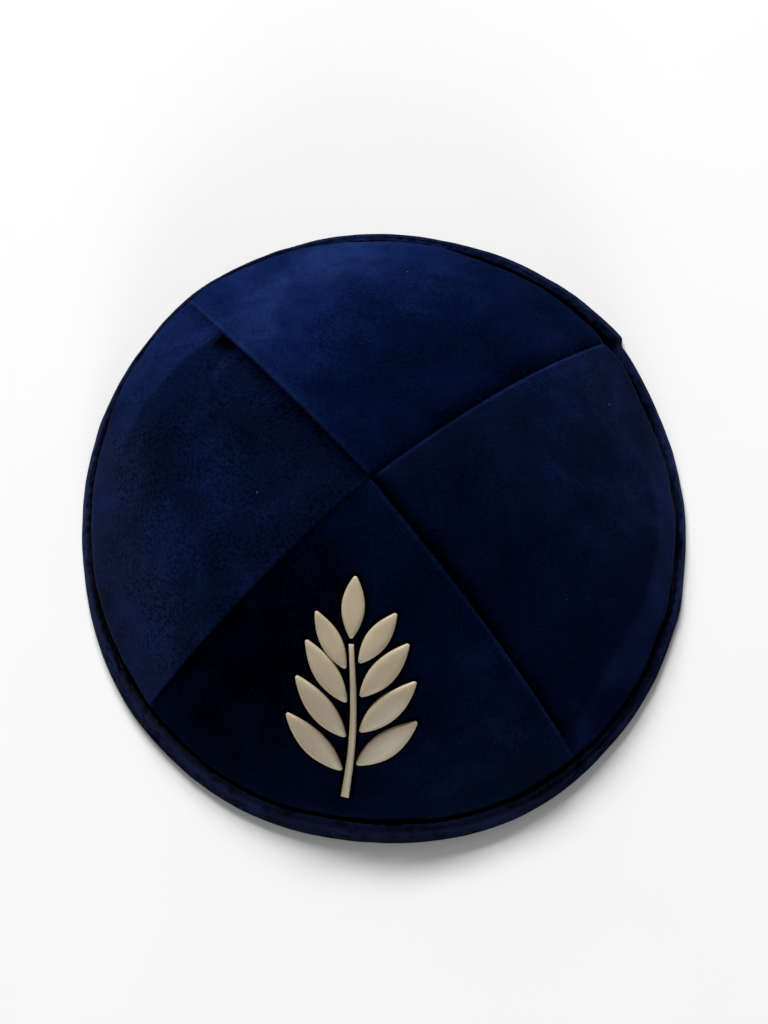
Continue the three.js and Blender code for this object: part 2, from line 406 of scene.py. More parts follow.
gore_velvet = velvet("gore_velvet", GORE_PATCHES, GORE_BUMP, GORE_SHEEN, GREY_DUST_AND_SHEEN)
front_velvet = velvet("front_velvet", GORE_PATCHES, GORE_BUMP, GORE_SHEEN, COOL_DUST_AND_SHEEN)
binding_velvet = velvet("binding_velvet", RIM_PATCHES, RIM_BUMP, RIM_SHEEN, RIM_WEAR_AND_SHEEN)
print("velvet:", len(gore_velvet.node_tree.nodes), "nodes")

# %% [markdown]
# ## The backing inside
#
# The hollow side shows the velvet's plain woven back. One dark colour would do from afar, but close
# up the threads show, so it gets a finish of its own: two families of threads crossing, drawn as
# bands along the cloth's own coordinates. The weave then follows the gore and not the room.

# %% Backing finish
THREAD_PITCH = 0.7
WAVE_PITCH = math.pi / 10.0  # a wave texture of scale 1 repeats after this length
THREAD_SHARE = 0.6  # the rest of the tone is wear
WORN = (6.0, 3.0)
BACKING_STOPS = ((0.0, (0.0028, 0.0042, 0.0125)), (1.0, (0.0090, 0.0135, 0.0360)))
BACKING_BUMP = 0.5
BACKING_DEPTH = 0.3


def thread_bands(board, cloth, way):
    """One family of threads, as bands along X or Y of the flat cloth."""
    settings = {"wave_type": "BANDS", "bands_direction": way}
    scale = WAVE_PITCH / (THREAD_PITCH * MM)
    return board.node("ShaderNodeTexWave", settings, {"Vector": cloth, "Scale": scale}, "Fac")


def woven_backing(name):
    """The velvet's woven back."""
    material, board = new_finish(name)
    cloth = flat_place(board)
    warp = thread_bands(board, cloth, "X")
    weft = thread_bands(board, cloth, "Y")
    threads = warp * (1.0 - weft) + weft * (1.0 - warp)
    worn = noise(board, object_place(board), *WORN)
    tone = threads * THREAD_SHARE + worn * (1.0 - THREAD_SHARE)
    finish_surface(
        board, Base_Color=ramp(board, BACKING_STOPS, tone), Roughness=0.85, Specular_IOR_Level=0.2,
        Normal=bumps(board, BACKING_BUMP, BACKING_DEPTH, threads),
    )
    return material


backing = woven_backing("woven_backing")
print("backing:", len(backing.node_tree.nodes), "nodes")

# %% [markdown]
# ## Seams, as a rule
#
# Two gores meet at a seam. Their edges turn down into it, and the seam allowance is pressed to
# one side, so the gore on the clockwise side stands up in a soft ridge and the other one sinks.
# Each stitch pulls the cloth in a little. The sunken side is painted darker, for crushed pile and
# for painted shade in the fold, and the lifted side gets a painted highlight along its crest. A bump
# could draw a line there, but the real seam has a shadow and an outline, so the edge is a true
# rolled edge in the mesh.

# %% The sewn edge
# angle, sideways bow, lift of the clockwise gore, sink of the other one, depth of the fold between
# them, and how dark the painted shade of the crushed pile is in the fold and beside it
SEAMS = {
    "back_right": (44, -0.5, 0.55, 0.45, 0.4, 0.16, 0.25),
    "back_left": (138, 0.8, 0.4, 0.5, 0.25, 0.10, 0.27),
    "front_left": (225, 0.8, 0.45, 0.4, 0.2, 0.06, 0.06),
    "front_right": (315, 0.4, 0.55, 0.5, 0.4, 0.18, 0.38),
}
SEAM_REACH = 5.0
SEAM_STARTS = 0.12
SEAM_FADES = (0.82, 0.94)
# shares of the wall over which the fold's depth and its painted shade fade
FOLD_AND_SHADE_FADE = {
    "back_right": (0.86, 1.0), "back_left": (0.64, 0.70),
    "front_left": (0.8, 1.0), "front_right": (0.84, 1.0),
}
FOLD_AND_SHADE_LOSS = 0.8  # and how much of it goes
# reach of the painted shade in the fold and beside it
FOLD_REACH = 0.9
BESIDE_REACH = 3.4
# the painted highlight on the crest of the lifted side: its tone, and its distance from the seam and reach
SEAM_CREST_HIGHLIGHT = 0.15
CREST_AWAY = 0.7
CREST_WIDTH = 0.5
# width of cloth that turns down into the fold, on the lifted and on the sunken side
LIFTED_ROLL = 1.2
SUNKEN_ROLL = 2.0
STITCH_PITCH = 3.2
STITCH_PULL = 0.11
PULL_REACH = 2.2
PULL_STARTS = (0.03, 0.1)
WALL_LENGTH = 103.0  # crown to rim over the curve


def seam_angle(seam, share):
    """A seam's angle: it bows a little sideways between crown and rim."""
    angle, bow = SEAMS[seam][:2]
    sideways = bow * np.sin(np.pi * np.clip(share, 0.0, 1.0))
    return angle + np.degrees(np.arcsin(sideways / reach(np.full_like(share, angle), share)))


def fold_and_shade_left(seam, share):
    """1 where a seam's fold is deepest and its painted shade darkest, and less towards the rim."""
    return 1.0 - FOLD_AND_SHADE_LOSS * ease(share, *FOLD_AND_SHADE_FADE[seam])


def bell(distance, width):
    """1 at no distance, fading to 0 a little past the width."""
    return np.exp(-((distance / width) ** 2))


def sewn_edge(seam, lifted, distance, share):
    """Relief of the cloth at a distance from a seam, on its lifted or its sunken side. Both sides
    turn down to the same depth at the seam itself."""
    lift, sink, depth = SEAMS[seam][2:5]
    strength = ease(share, 0.0, SEAM_STARTS) * (1.0 - ease(share, *SEAM_FADES))
    raised = (lift if lifted else -sink) * strength
    fold = (lift - sink) / 2.0 * strength - depth * fold_and_shade_left(seam, share)
    pulls = 1.0 + np.cos(2.0 * np.pi * share * WALL_LENGTH / STITCH_PITCH)
    pucker = -STITCH_PULL * pulls * np.exp(-distance / PULL_REACH) * ease(share, *PULL_STARTS)
    width = LIFTED_ROLL if lifted else SUNKEN_ROLL
    near = np.clip(1.0 - distance / width, 0.0, 1.0) ** 2
    return raised * bell(distance, SEAM_REACH) + pucker + near * (fold - raised)


def seam_shade(seam, lifted, distance, share):
    """Painted light in the pile's tone there: a painted highlight on one side's crest, painted shade in the
    crushed fold on the other.
    """
    if lifted:
        return SEAM_CREST_HIGHLIGHT * bell(distance - CREST_AWAY, CREST_WIDTH)
    fold, beside = SEAMS[seam][5:]
    deep = fold * bell(distance, FOLD_REACH) + beside * bell(distance, BESIDE_REACH)
    return -deep * fold_and_shade_left(seam, share)


for seam_name, (seam_at, *_) in SEAMS.items():
    print("seam", seam_name, "at", seam_at, "degrees")

# %% [markdown]
# ## Soft relief and nap marks
#
# Cloth is never quite even. Long, low waves keep the dome from looking turned on a lathe, and
# short shallow ones are the crushed pile. Both are sums of plane waves with a fixed seed, so the
# cap is the same on every run. The nap marks are a table: where a hand brushed the pile, how far
# the mark reaches, and how much lighter or darker it is. Their tones are also painted light: they
# hold how light the brushed pile looks under these lamps, and a few small dark marks are painted
# shadow in a tuck beside a seam. Along parts of the rim a whole band is lighter, brushed up and
# with a painted sheen where the wall turns away, the pile parts less where it is light, and
# towards the rim it is greyed by dust and by a painted sheen.

# %% Ripples
RIPPLES = 28
RIPPLE_SPREAD = (0.7, 1.5)


def ripples(points, length, seed):
    """Random relief of height 1 or so, made of waves about that long, the same on every run."""
    draw = np.random.default_rng(seed)
    heading = draw.normal(size=(RIPPLES, 3))
    heading /= np.linalg.norm(heading, axis=1, keepdims=True)
    pitch = length * draw.uniform(*RIPPLE_SPREAD, RIPPLES)
    start = draw.uniform(0.0, 2.0 * np.pi, RIPPLES)
    total = np.zeros(points.shape[:-1])
    for direction, size, phase in zip(heading, pitch, start):
        total += np.sin(points @ direction * (2.0 * np.pi / size) + phase)
    return total * math.sqrt(2.0 / RIPPLES)


print("a ripple is the sum of", RIPPLES, "waves")

# %% Nap marks
# gore: tone, then marks of (angle, share, reach in mm, change of tone); the tones hold painted light as well
# as brushing
NAP_AND_LIGHT = {
    "right": (0.50, (
        (347, 0.15, 24, -0.16), (322, 0.03, 1.5, -0.25), (36, 0.62, 24, 0.02), (4, 0.92, 20, 0.05),
        (18, 0.94, 11, -0.09), (333, 0.77, 30, -0.03), (340, 0.42, 24, -0.14), (324, 0.42, 8, -0.10),
        (340, 0.28, 7, 0.08), (325, 0.95, 9, -0.25), (29, 0.54, 8, -0.10), (3, 0.69, 9, -0.08),
        (3, 0.40, 9, 0.06), (340, 0.90, 8, -0.07),
    )),
    "back": (0.56, (
        (121, 0.78, 30, 0.15), (97, 0.88, 30, 0.20), (92, 0.47, 24, -0.23), (64, 0.45, 22, -0.19),
        (124, 0.50, 20, 0.12), (86, 0.15, 24, -0.12), (56, 0.75, 30, -0.08), (50, 0.95, 20, -0.14),
        (82, 0.36, 13, 0.18), (83, 0.54, 8, 0.12), (132, 0.90, 8, 0.07), (115, 0.37, 7, 0.12),
        (62, 0.47, 9, 0.12), (69, 0.96, 9, -0.10),
    )),
    "left": (0.44, (
        # the three small dark marks at 138.9 to 140.4 degrees are painted shadow in a tuck beside the seam
        (215, 0.45, 14, -0.04), (216, 0.62, 14, -0.08), (140.4, 0.655, 2.4, -0.33),
        (138.9, 0.605, 2.6, -0.33), (140, 0.63, 4.5, -0.12), (180, 0.93, 24, 0.04),
        (188, 0.93, 10, 0.15), (152, 0.26, 7, -0.15), (172, 0.62, 9, -0.14), (157, 0.43, 9, -0.08),
        (208, 0.72, 22, 0.09), (218, 0.88, 22, 0.17), (190, 0.14, 22, -0.13), (202, 0.40, 16, 0.09),
        (178, 0.51, 9, -0.09), (213, 0.77, 9, -0.07), (150, 0.40, 8, -0.08), (208, 0.55, 8, 0.06),
        (176, 0.89, 8, 0.10), (163, 0.24, 7, 0.10),
    )),
    "front": (0.37, (
        (238, 0.62, 29, -0.41), (298, 0.66, 28, 0.20), (284, 0.20, 22, -0.05), (298, 0.36, 18, -0.15),
        (241, 0.73, 8, 0.16), (305, 0.32, 7, 0.10), (290, 0.64, 8, -0.24), (240, 0.31, 10, -0.17),
        (284, 0.26, 6, 0.18),
    )),
}


def nap_and_light_tone(gore, points):
    """How light the brushed pile looks, with painted light in it, from 0 to about 1."""
    tone, marks = NAP_AND_LIGHT[gore]
    shade = np.full(points.shape[:-1], tone)
    for degrees, share, size, change in marks:
        centre = dome(np.array(float(degrees)), np.array(share))
        away = np.linalg.norm(points - centre, axis=-1)
        shade += change * bell(away, size)
    return shade


print("nap marks:", sum(len(marks) for _, marks in NAP_AND_LIGHT.values()))

# %% Lighter rim bands
# gore: the tone of its lighter outer band, brushed pile and painted sheen where the wall turns away,
# the angles between which that fades, and for some angles the share of the wall where the band begins
BANDS = {
    "left": (0.22, (150, 190), ((138, 0.66), (150, 0.70), (165, 0.745), (185, 0.80), (225, 0.9))),
    "right": (0.18, (365, 390), (
        (314, 0.86), (333, 0.80), (350, 0.82), (364, 0.83), (385, 0.76), (404, 0.68),
    )),
}
BAND_EDGE = 0.04


def brushed_and_sheen_band(gore, degrees, share):
    """The lighter band along the rim: pile brushed up there, and a painted sheen where the wall turns away.
    """
    if gore not in BANDS:
        return np.zeros_like(degrees)
    tone, fades, rows = BANDS[gore]
    begins = table_at(rows, degrees)
    inside = ease(share, begins, begins + BAND_EDGE)
    return tone * inside * (1.0 - ease(degrees, *fades))


print("brushed bands on:", list(BANDS))

# %% Grain of the pile
# gore: the way its pile parts on the flat cloth, and how strongly
GRAIN = {"right": (70, 0.4), "back": (-8, 0.6), "left": (28, 0.8), "front": (80, 0.5)}
# the pile parts most where it is black, less by a factor of the tone, and within limits
GRAIN_AT_BLACK = 1.65
GRAIN_FALLS = 1.45
GRAIN_LIMITS = (0.3, 1.1)
# how much calmer it is at the crown and at the rim, and over which shares of the wall that changes
CALM_CROWN = 0.15
CALM_CROWN_ENDS = (0.1, 0.3)
CALM_RIM = 0.5
CALM_RIM_STARTS = (0.78, 0.92)


def pile_grain(gore, tone, share):
    """How strongly the pile parts: less where its tone is light, near the crown and at the rim."""
    calm = 1.0 - CALM_CROWN * (1.0 - ease(share, *CALM_CROWN_ENDS))
    calm *= 1.0 - CALM_RIM * ease(share, *CALM_RIM_STARTS)
    return GRAIN[gore][1] * np.clip(GRAIN_AT_BLACK - GRAIN_FALLS * tone, *GRAIN_LIMITS) * calm


print("the pile parts most on:", max(GRAIN, key=lambda gore: GRAIN[gore][1]))

# %% Dust and painted sheen
# angle, and how dusty the pile is near the crown, and how grey at the rim, for dust and for a painted sheen
# where the wall turns away
CROWN_DUST = (
    (40, 0.2), (48, 0.0), (134, 0.0), (142, 0.2), (221, 0.2), (229, 0.0), (285, 0.15), (311, 0.15),
    (319, 0.1),
)
RIM_DUST_AND_SHEEN = (
    (0, 0.4), (40, 0.4), (48, 0.1), (90, 0.0), (134, 0.0), (142, 0.1), (160, 0.2), (180, 0.9), (210, 0.9),
    (221, 0.7), (229, 0.1), (270, 0.4), (311, 0.5), (319, 0.1), (340, 0.2),
)
DUST_AND_SHEEN_RISES = (0.5, 0.95)


def dust_and_sheen_at(degrees, share):
    """How grey the pile is at a place of the wall: dust, and towards the rim a painted sheen."""
    crown = table_at(CROWN_DUST, degrees)
    return crown + (table_at(RIM_DUST_AND_SHEEN, degrees) - crown) * ease(share, *DUST_AND_SHEEN_RISES)


print("dustiest at the rim:", max(value for _, value in RIM_DUST_AND_SHEEN))

# %% [markdown]
# ## The four gores
#
# Each gore is a grid laid on the dome between its two seams, from the crown down into the fold of
# the binding, with its woven back 2 mm inside it. Subdividing a rough panel would lose the seam's
# sharp roll, so the grid is simply fine, and finest beside the seams and the binding. Above the
# binding the cloth puffs out a little before it dives into a groove under the strip, and the pile
# is painted darker there as painted shade in the groove. On the hollow side each gore carries the
# two turned edges of one seam, pressed flat, as a second shell.

# %% Mesh helpers
def new_object(name, data):
    """A new object in the scene."""
    made = bpy.data.objects.new(name, data)
    bpy.context.scene.collection.objects.link(made)
    return made


def mesh_piece(name, points, faces, finishes):
    """A new object from points in millimetres, smooth, with its finishes."""
    mesh = bpy.data.meshes.new(name)
    mesh.from_pydata((points * MM).tolist(), [], faces)
    for finish in finishes:
        mesh.materials.append(finish)
    mesh.polygons.foreach_set("use_smooth", np.ones(len(mesh.polygons), bool))
    mesh.update()
    return new_object(name, mesh)


def closed_slab(rows, columns):
    """Quads of a closed slab: an upper grid, the same grid below it, and the wall between them."""
    width = columns + 1
    layer = (rows + 1) * width
    at = np.arange(layer).reshape(rows + 1, width)
    upper = np.stack([at[:-1, :-1], at[1:, :-1], at[1:, 1:], at[:-1, 1:]], axis=-1).reshape(-1, 4)
    lower = upper[:, ::-1] + layer
    border = np.concatenate([at[:-1, 0], at[-1, :-1], at[:0:-1, -1], at[0, :0:-1]])
    ahead = np.roll(border, -1)
    wall = np.stack([ahead, border, border + layer, ahead + layer], axis=-1)
    return upper, wall, lower


def add_number(mesh, name, values):
    """Stores a number, or a vector, on each vertex."""
    kind, field = ("FLOAT_VECTOR", "vector") if np.ndim(values) == 2 else ("FLOAT", "value")
    store = mesh.attributes.new(name, kind, "POINT")
    store.data.foreach_set(field, np.ascontiguousarray(values, np.float32).ravel())


def add_cloth_uv(piece, flat):
    """Stores each vertex's place on the flat cloth, in metres, as a UV map."""
    corners = np.zeros(len(piece.data.loops), np.int32)
    piece.data.loops.foreach_get("vertex_index", corners)
    layer = piece.data.uv_layers.new(name="cloth")
    layer.data.foreach_set("uv", np.ascontiguousarray(flat[corners] * MM, np.float32).ravel())


def as_piece(piece, finish_slot, *nodes):
    """Ties a finished piece to the frame."""
    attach(piece, "root")
    if nodes:
        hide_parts(*nodes)
    return piece


print("a slab of one field has", sum(len(part) for part in closed_slab(1, 1)), "faces")

# %% A gore's grid
GORES = {
    "right": ("front_right", "back_right"),
    "back": ("back_right", "back_left"),
    "left": ("back_left", "front_left"),
    "front": ("front_left", "front_right"),
}
GORE_ROWS = 190
GORE_COLUMNS = 170
ROW_CROWDING = 0.5  # share of the grid's spacing that narrows towards the binding
COLUMN_CROWDING = 0.7  # and towards the seams
GORE_TIP = 0.003
SEAM_CLEARANCE = 0.04
TIP_CLEARANCE = 0.2  # at most this angle, in radians, near the crown
TUCK = 1.0  # the cloth stops this far above the rim line, inside the fold


def gore_grid(first_seam, last_seam):
    """Angle, share and the distances to the two seams at each point of a gore's grid."""
    down = np.linspace(0.0, 1.0, GORE_ROWS + 1)[:, None]
    across = np.linspace(0.0, 1.0, GORE_COLUMNS + 1)[None, :]
    down += ROW_CROWDING * (np.sin(down * np.pi / 2.0) - down)
    across = across + COLUMN_CROWDING * ((1.0 - np.cos(across * np.pi)) / 2.0 - across)
    start, end = SEAMS[first_seam][0], SEAMS[last_seam][0]
    past = 360.0 if end < start else 0.0
    nominal = start + (end + past - start) * across
    bottom = 1.0 - TUCK / wall_speed(nominal)
    share = GORE_TIP + (bottom - GORE_TIP) * down
    first = seam_angle(first_seam, share)
    last = seam_angle(last_seam, share) + past
    radius = reach(nominal + 0.0 * share, share)
    clear = np.degrees(np.minimum(SEAM_CLEARANCE / radius, TIP_CLEARANCE))
    degrees = first + clear + (last - first - 2.0 * clear) * across
    to_first = np.radians(degrees - first) * radius
    to_last = np.radians(last - degrees) * radius
    return degrees, share, to_first, to_last


print("gore grid:", GORE_ROWS, "by", GORE_COLUMNS, "fields")

# %% Above the binding
# angle, and how far the binding's upper edge is above the rim line
BINDING_TOPS = (
    (0, 2.7), (30, 2.6), (45, 3.8), (90, 2.8), (145, 2.6), (180, 3.2), (220, 4.3), (280, 3.8), (330, 2.7),
)
# how it wanders: height, waves round the rim, and where they start
BINDING_WANDERS = ((0.16, 11.0, 0.4), (0.12, 23.0, 2.0), (0.08, 41.0, 1.1))
# angle, and how far the cloth puffs out above the binding
PUFFS = ((0, 1.2), (60, 1.2), (100, 1.6), (140, 2.3), (175, 1.9), (220, 1.2), (280, 1.1), (330, 1.2))
PUFF_ABOVE = 3.0
PUFF_FADES = 10.0
DIVE_WIDTH = 3.4
DIVE_DEPTH = 0.9
# angle, and how far up the cloth the groove's painted shade reaches above the binding
GROOVE_WIDTHS = ((0, 2.0), (30, 0.8), (60, 1.2), (120, 0.8), (200, 0.8), (250, 0.9), (300, 1.2), (330, 1.9))
GROOVE_DARK = 0.5


def binding_top(degrees):
    """The binding's upper edge above the rim line: it wanders a little, as a sewn edge does."""
    turn = np.radians(degrees)
    wander = sum(height * np.sin(waves * turn + start) for height, waves, start in BINDING_WANDERS)
    return table_at(BINDING_TOPS, degrees) + wander


def above_binding(degrees, share):
    """Millimetres along the wall from the binding's upper edge."""
    return (1.0 - share) * wall_speed(degrees) - binding_top(degrees)


def rolled(distance, width, depth):
    """Depth of an edge that turns down like a quarter of an oval over the last width of cloth."""
    left = np.clip(1.0 - distance / width, 0.0, 1.0)
    return -depth * (1.0 - np.sqrt(1.0 - left * left))


def binding_dive(degrees, share):
    """The cloth puffs out above the binding and dives under its edge."""
    above = above_binding(degrees, share)
    puff = table_at(PUFFS, degrees) * bell(np.maximum(above - PUFF_ABOVE, 0.0), PUFF_FADES)
    return puff + rolled(above, DIVE_WIDTH, puff + DIVE_DEPTH)


def groove_shade(degrees, share):
    """Painted shade: the pile's tone is darker in the groove."""
    above = np.maximum(above_binding(degrees, share), 0.0)
    return -GROOVE_DARK * bell(above, table_at(GROOVE_WIDTHS, degrees))


print(f"the binding's edge is {binding_top(np.arange(360.0)).max():.1f} mm above the rim line at most")

# %% Turned edges
# the turned edges of a seam on the hollow side: width, how far their fold passes the seam, thickness,
# how far they pass the crown and end above the rim line, and their rows and columns
TURNED_WIDTH = 7.0
TURNED_PAST = 0.6
TURNED_CLOTH = 1.0
TURNED_CROSSING = 3.0
TURNED_ENDS = 4.1
TURNED_STEPS = (110, 10)
TURNED_EDGE = 0.3  # share of the thickness that is left at their edges
TURNED_SQUARENESS = 6
TURNED_WAVER = 0.35
TURNED_WAVER_LENGTH = 5.0
TURNED_CLEARANCE = 0.04
TURNED_HEAP = 0.3  # each pair lies so much deeper than the one before at the crown
TURNED_SETTLES = (0.05, 0.2)


def turned_edges(seam):
    """A seam's two edges on the hollow side, pressed flat under the lifted gore: their points and
    the places of these on the flat cloth. At the crown the four pairs lie over each other."""
    rows, columns = TURNED_STEPS
    across = np.linspace(-1.0, 1.0, columns + 1)[None, :]
    ends = WALL_LENGTH * (1.0 - TURNED_ENDS / wall_speed(np.array([float(SEAMS[seam][0])]))[0])
    along = np.linspace(-TURNED_CROSSING, ends, rows + 1)[:, None]
    sideways = TURNED_PAST - (TURNED_WIDTH + TURNED_PAST) * (1.0 - across) / 2.0
    waver = TURNED_WAVER * np.sin(along / TURNED_WAVER_LENGTH)
    sideways = sideways + waver * (1.0 - across) / 2.0
    share = np.hypot(along, sideways) / WALL_LENGTH
    turned = seam_angle(seam, np.clip(along / WALL_LENGTH, GORE_TIP, 1.0))
    degrees = turned + np.degrees(np.arctan2(sideways, along + 0.0 * sideways))
    heap = TURNED_HEAP * list(SEAMS).index(seam) * (1.0 - ease(share, *TURNED_SETTLES))
    top = -CLOTH - TURNED_CLEARANCE - heap
    oval = np.sqrt(1.0 - across ** TURNED_SQUARENESS)
    thick = TURNED_CLOTH * (TURNED_EDGE + (1.0 - TURNED_EDGE) * oval)
    layers = on_wall(degrees, share, top), on_wall(degrees, share, top - thick)
    flat = np.stack([sideways, along + 0.0 * sideways], axis=-1).reshape(-1, 2)
    return np.concatenate([layer.reshape(-1, 3) for layer in layers]), np.tile(flat, (2, 1))


print("turned edges:", len(turned_edges("front_left")[0]), "points")

# %% Gores
# height, length and seed of the waves in the cloth, and of its crushed pile
SOFT_WAVES = ((0.22, 34.0, 11), (0.07, 11.0, 12))
CRUSHED_PILE = ((0.03, 3.6, 13),)
SEAM_CALM = 6.0  # the waves fade out over this distance from a seam


def waves(rows, points):
    """The sum of some random waves."""
    return sum(height * ripples(points, length, seed) for height, length, seed in rows)


def gore_numbers(name, plain, degrees, share, to_first, to_last):
    """The tone with its painted light and shade, the grain, and the dust and painted sheen of a gore's
    velvet.
    """
    first_seam, last_seam = GORES[name]
    tone = nap_and_light_tone(name, plain)
    tone += seam_shade(first_seam, False, to_first, share) + seam_shade(last_seam, True, to_last, share)
    tone += brushed_and_sheen_band(name, degrees, share) + groove_shade(degrees, share)
    return {"nap": tone, "grain": pile_grain(name, tone, share), "dust": dust_and_sheen_at(degrees, share)}


def gore_flat(name, degrees, share):
    """Places on a gore's flat cloth, turned the way its pile parts."""
    middle = (degrees[:, :1] + degrees[:, -1:]) / 2.0
    across = np.radians(degrees - middle) * reach(degrees, share)
    down = share * WALL_LENGTH
    lie = math.radians(GRAIN[name][0])
    x = down * math.cos(lie) - across * math.sin(lie)
    y = across * math.cos(lie) + down * math.sin(lie)
    return np.stack([x, y], axis=-1).reshape(-1, 2)


def gore(name):
    """A gore: velvet outside, its woven back inside, and the turned edges of its last seam."""
    first_seam, last_seam = GORES[name]
    degrees, share, to_first, to_last = gore_grid(first_seam, last_seam)
    plain = dome(degrees, share)
    calm = ease(np.minimum(to_first, to_last), 0.0, SEAM_CALM)
    relief = (waves(SOFT_WAVES, plain) + waves(CRUSHED_PILE, plain)) * calm + binding_dive(degrees, share)
    relief += sewn_edge(first_seam, False, to_first, share)
    relief += sewn_edge(last_seam, True, to_last, share)
    outer = on_wall(degrees, share, relief).reshape(-1, 3)
    inner = on_wall(degrees, share, np.full_like(relief, -CLOTH)).reshape(-1, 3)
    turned, turned_flat = turned_edges(last_seam)
    upper, wall, lower = closed_slab(GORE_ROWS, GORE_COLUMNS)
    under = np.concatenate(closed_slab(*TURNED_STEPS)) + 2 * len(outer)
    faces = np.concatenate([upper, wall, lower, under]).tolist()
    finishes = [front_velvet if name == "front" else gore_velvet, backing]
    piece = mesh_piece(f"gore_{name}", np.concatenate([outer, inner, turned]), faces, finishes)
    finish = np.zeros(len(faces), np.int32)
    finish[len(upper) + len(wall):] = 1
    piece.data.polygons.foreach_set("material_index", finish)
    for key, values in gore_numbers(name, plain, degrees, share, to_first, to_last).items():
        add_number(piece.data, key, np.pad(np.tile(values.ravel(), 2), (0, len(turned))))
    flat = np.tile(gore_flat(name, degrees, share), (2, 1))
    add_cloth_uv(piece, np.concatenate([flat, turned_flat]))
    as_piece(piece, "velvet_gores", f"panel_{name}")
    print(piece.name, len(piece.data.polygons), "faces")
    return piece


gores = {name: gore(name) for name in GORES}

# %% [markdown]
# ## The binding strip
#
# The raw rim is bound with a bias strip of the same velvet, folded round the edge, with its
# finished end lapped over its start at the back right. It is one section carried along the rim,
# which is what Geometry Nodes are good at: a grid whose rows sample the rim's path and whose
# columns sample the section. Curve to Mesh would also sweep a section, but here the section has
# to change into a thicker one at the lap and lie flat on the floor, so the tree mixes two
# sections by a number on the path. The strip's tone holds painted light: it is painted lighter
# along its crest as a painted highlight, darker at its upper edge as painted shade by the groove,
# and greyer in front, for wear and for a painted sheen.

# %% The strip's section
GAP = 0.3  # between the strip and the gores
BINDING_CLOTH = 1.3
BINDING_INSIDE = 4.0  # height of the strip's inner turn
# the lapped end: how much thicker it is, how far it leans out, and the share of its thickness by
# which it stands higher
LAP_PROUD = 1.5
LAP_LEAN = 1.2
LAP_RISE = 0.4
CORNER_STEPS = 3


def closed_spline(corners, steps):
    """Points of a smooth closed curve through some corners, with that many steps to each."""
    pieces = []
    t = np.linspace(0.0, 1.0, steps, endpoint=False)[:, None]
    for i in range(len(corners)):
        before, here, there, after = (corners[(i + k) % len(corners)] for k in (-1, 0, 1, 2))
        bend = 2.0 * before - 5.0 * here + 4.0 * there - after
        pieces.append(here + 0.5 * ((there - before) * t + bend * t ** 2
                                    + (3.0 * here - before - 3.0 * there + after) * t ** 3))
    return np.concatenate(pieces)


def section(proud, lean):
    """Rows of a closed section: millimetres up the wall, millimetres out from its face, and the
    shares of the strip's height, of the way down to the floor and of its bulge that are added."""
    face = GAP + BINDING_CLOTH + proud
    back = -CLOTH - GAP - BINDING_CLOTH
    inner = GAP + lean
    rise = LAP_RISE * proud
    inside = BINDING_INSIDE
    tuck = TUCK - GAP
    corners = np.array([
        # the upper edge, from the groove over to the outer face
        (rise - 1.2, inner - 0.1, 1, 0, 0), (rise - 0.4, inner, 1, 0, 0),
        (rise, inner + 0.35, 1, 0, 0), (rise - 0.1, inner + 0.8, 1, 0, -0.2),
        (rise - 0.5, face - 0.3, 1, 0, -0.3), (rise - 1.2, face, 1, 0, -0.2),
        # down the outer face
        (0.0, face, 0.4, 0, 0.2), (0.0, face, 0, 0.2, 0.35),
        (0.0, face, 0, 0.55, 0.15), (0.4, face, 0, 0.8, -0.2),
        # round the rim, along the floor
        (1.5, face, 0, 1, -0.5), (0.6, face - 0.5, 0, 1, -0.7), (-0.2, face - 1.3, 0, 1, -0.8),
        (-0.7, -CLOTH / 2, 0, 1, 0), (-0.6, back + 0.9, 0, 1, 0),
        (0.1, back + 0.3, 0, 1, 0), (0.9, back, 0, 1, 0),
        # up the inner face and over its edge
        (0.0, back - 0.1, 0, 0.3, 0), (inside - 1.5, back, 0, 0, 0), (inside - 0.3, back + 0.25, 0, 0, 0),
        (inside, back + 0.8, 0, 0, 0), (inside - 0.3, -CLOTH - GAP, 0, 0, 0),
        # along the gore, inside and out
        (inside - 1.2, -CLOTH - GAP, 0, 0, 0), (tuck + 0.5, -CLOTH - GAP, 0, 0, 0),
        (tuck, 0.1 - CLOTH, 0, 0, 0), (tuck, -0.1, 0, 0, 0), (tuck + 0.5, GAP, 0, 0, 0),
        (0.0, GAP + 0.4 * lean, 0.5, 0, 0),
    ])
    return closed_spline(corners, CORNER_STEPS)


print("section:", len(section(0.0, 0.0)), "points")

# %% The rim's path
# angle, and how round the strip's outer face is there
BINDING_BULGES = ((0, 0.9), (60, 0.9), (130, 0.7), (180, 0.8), (225, 1.4), (270, 1.7), (310, 1.5))
LAP_END = 43.2
# angle, and how much of the lapped section the strip has there
LAP = ((42.2, 0.0), (44.0, 1.0), (51.5, 0.6), (66.0, 0.27), (82.0, 0.0))
PATH_STEPS = 720
PATH_START = 0.01
LAP_STEPS = 40
LAP_FINE = 1.2  # the path has finer steps this far to both sides of the lap's end
ROLL = 0.5  # the rounded upper edge stays this far below the CAD model's
PULLED_EDGE = 0.4  # share of the strip's height over which the stitches' pull fades


def point_cloud(name, points, **numbers):
    """A mesh of bare points that carries named numbers or vectors, for a node tree to sample."""
    mesh = bpy.data.meshes.new(name)
    mesh.from_pydata((points * MM).tolist(), [], [])
    for key, values in numbers.items():
        add_number(mesh, key, values)
    return new_object(name, mesh)


def section_cloud(name, proud, lean):
    """A section as a point cloud, with its shares as named numbers."""
    rows = section(proud, lean)
    edge = rows[:, 2] * bell(rows[:, 2] - 1.0, PULLED_EDGE) * (rows[:, 1] > 0.0)
    flat = np.pad(rows[:, :2], ((0, 0), (0, 1)))
    return point_cloud(name, flat, top=rows[:, 2], floor=rows[:, 3], bulge=rows[:, 4], edge=edge)


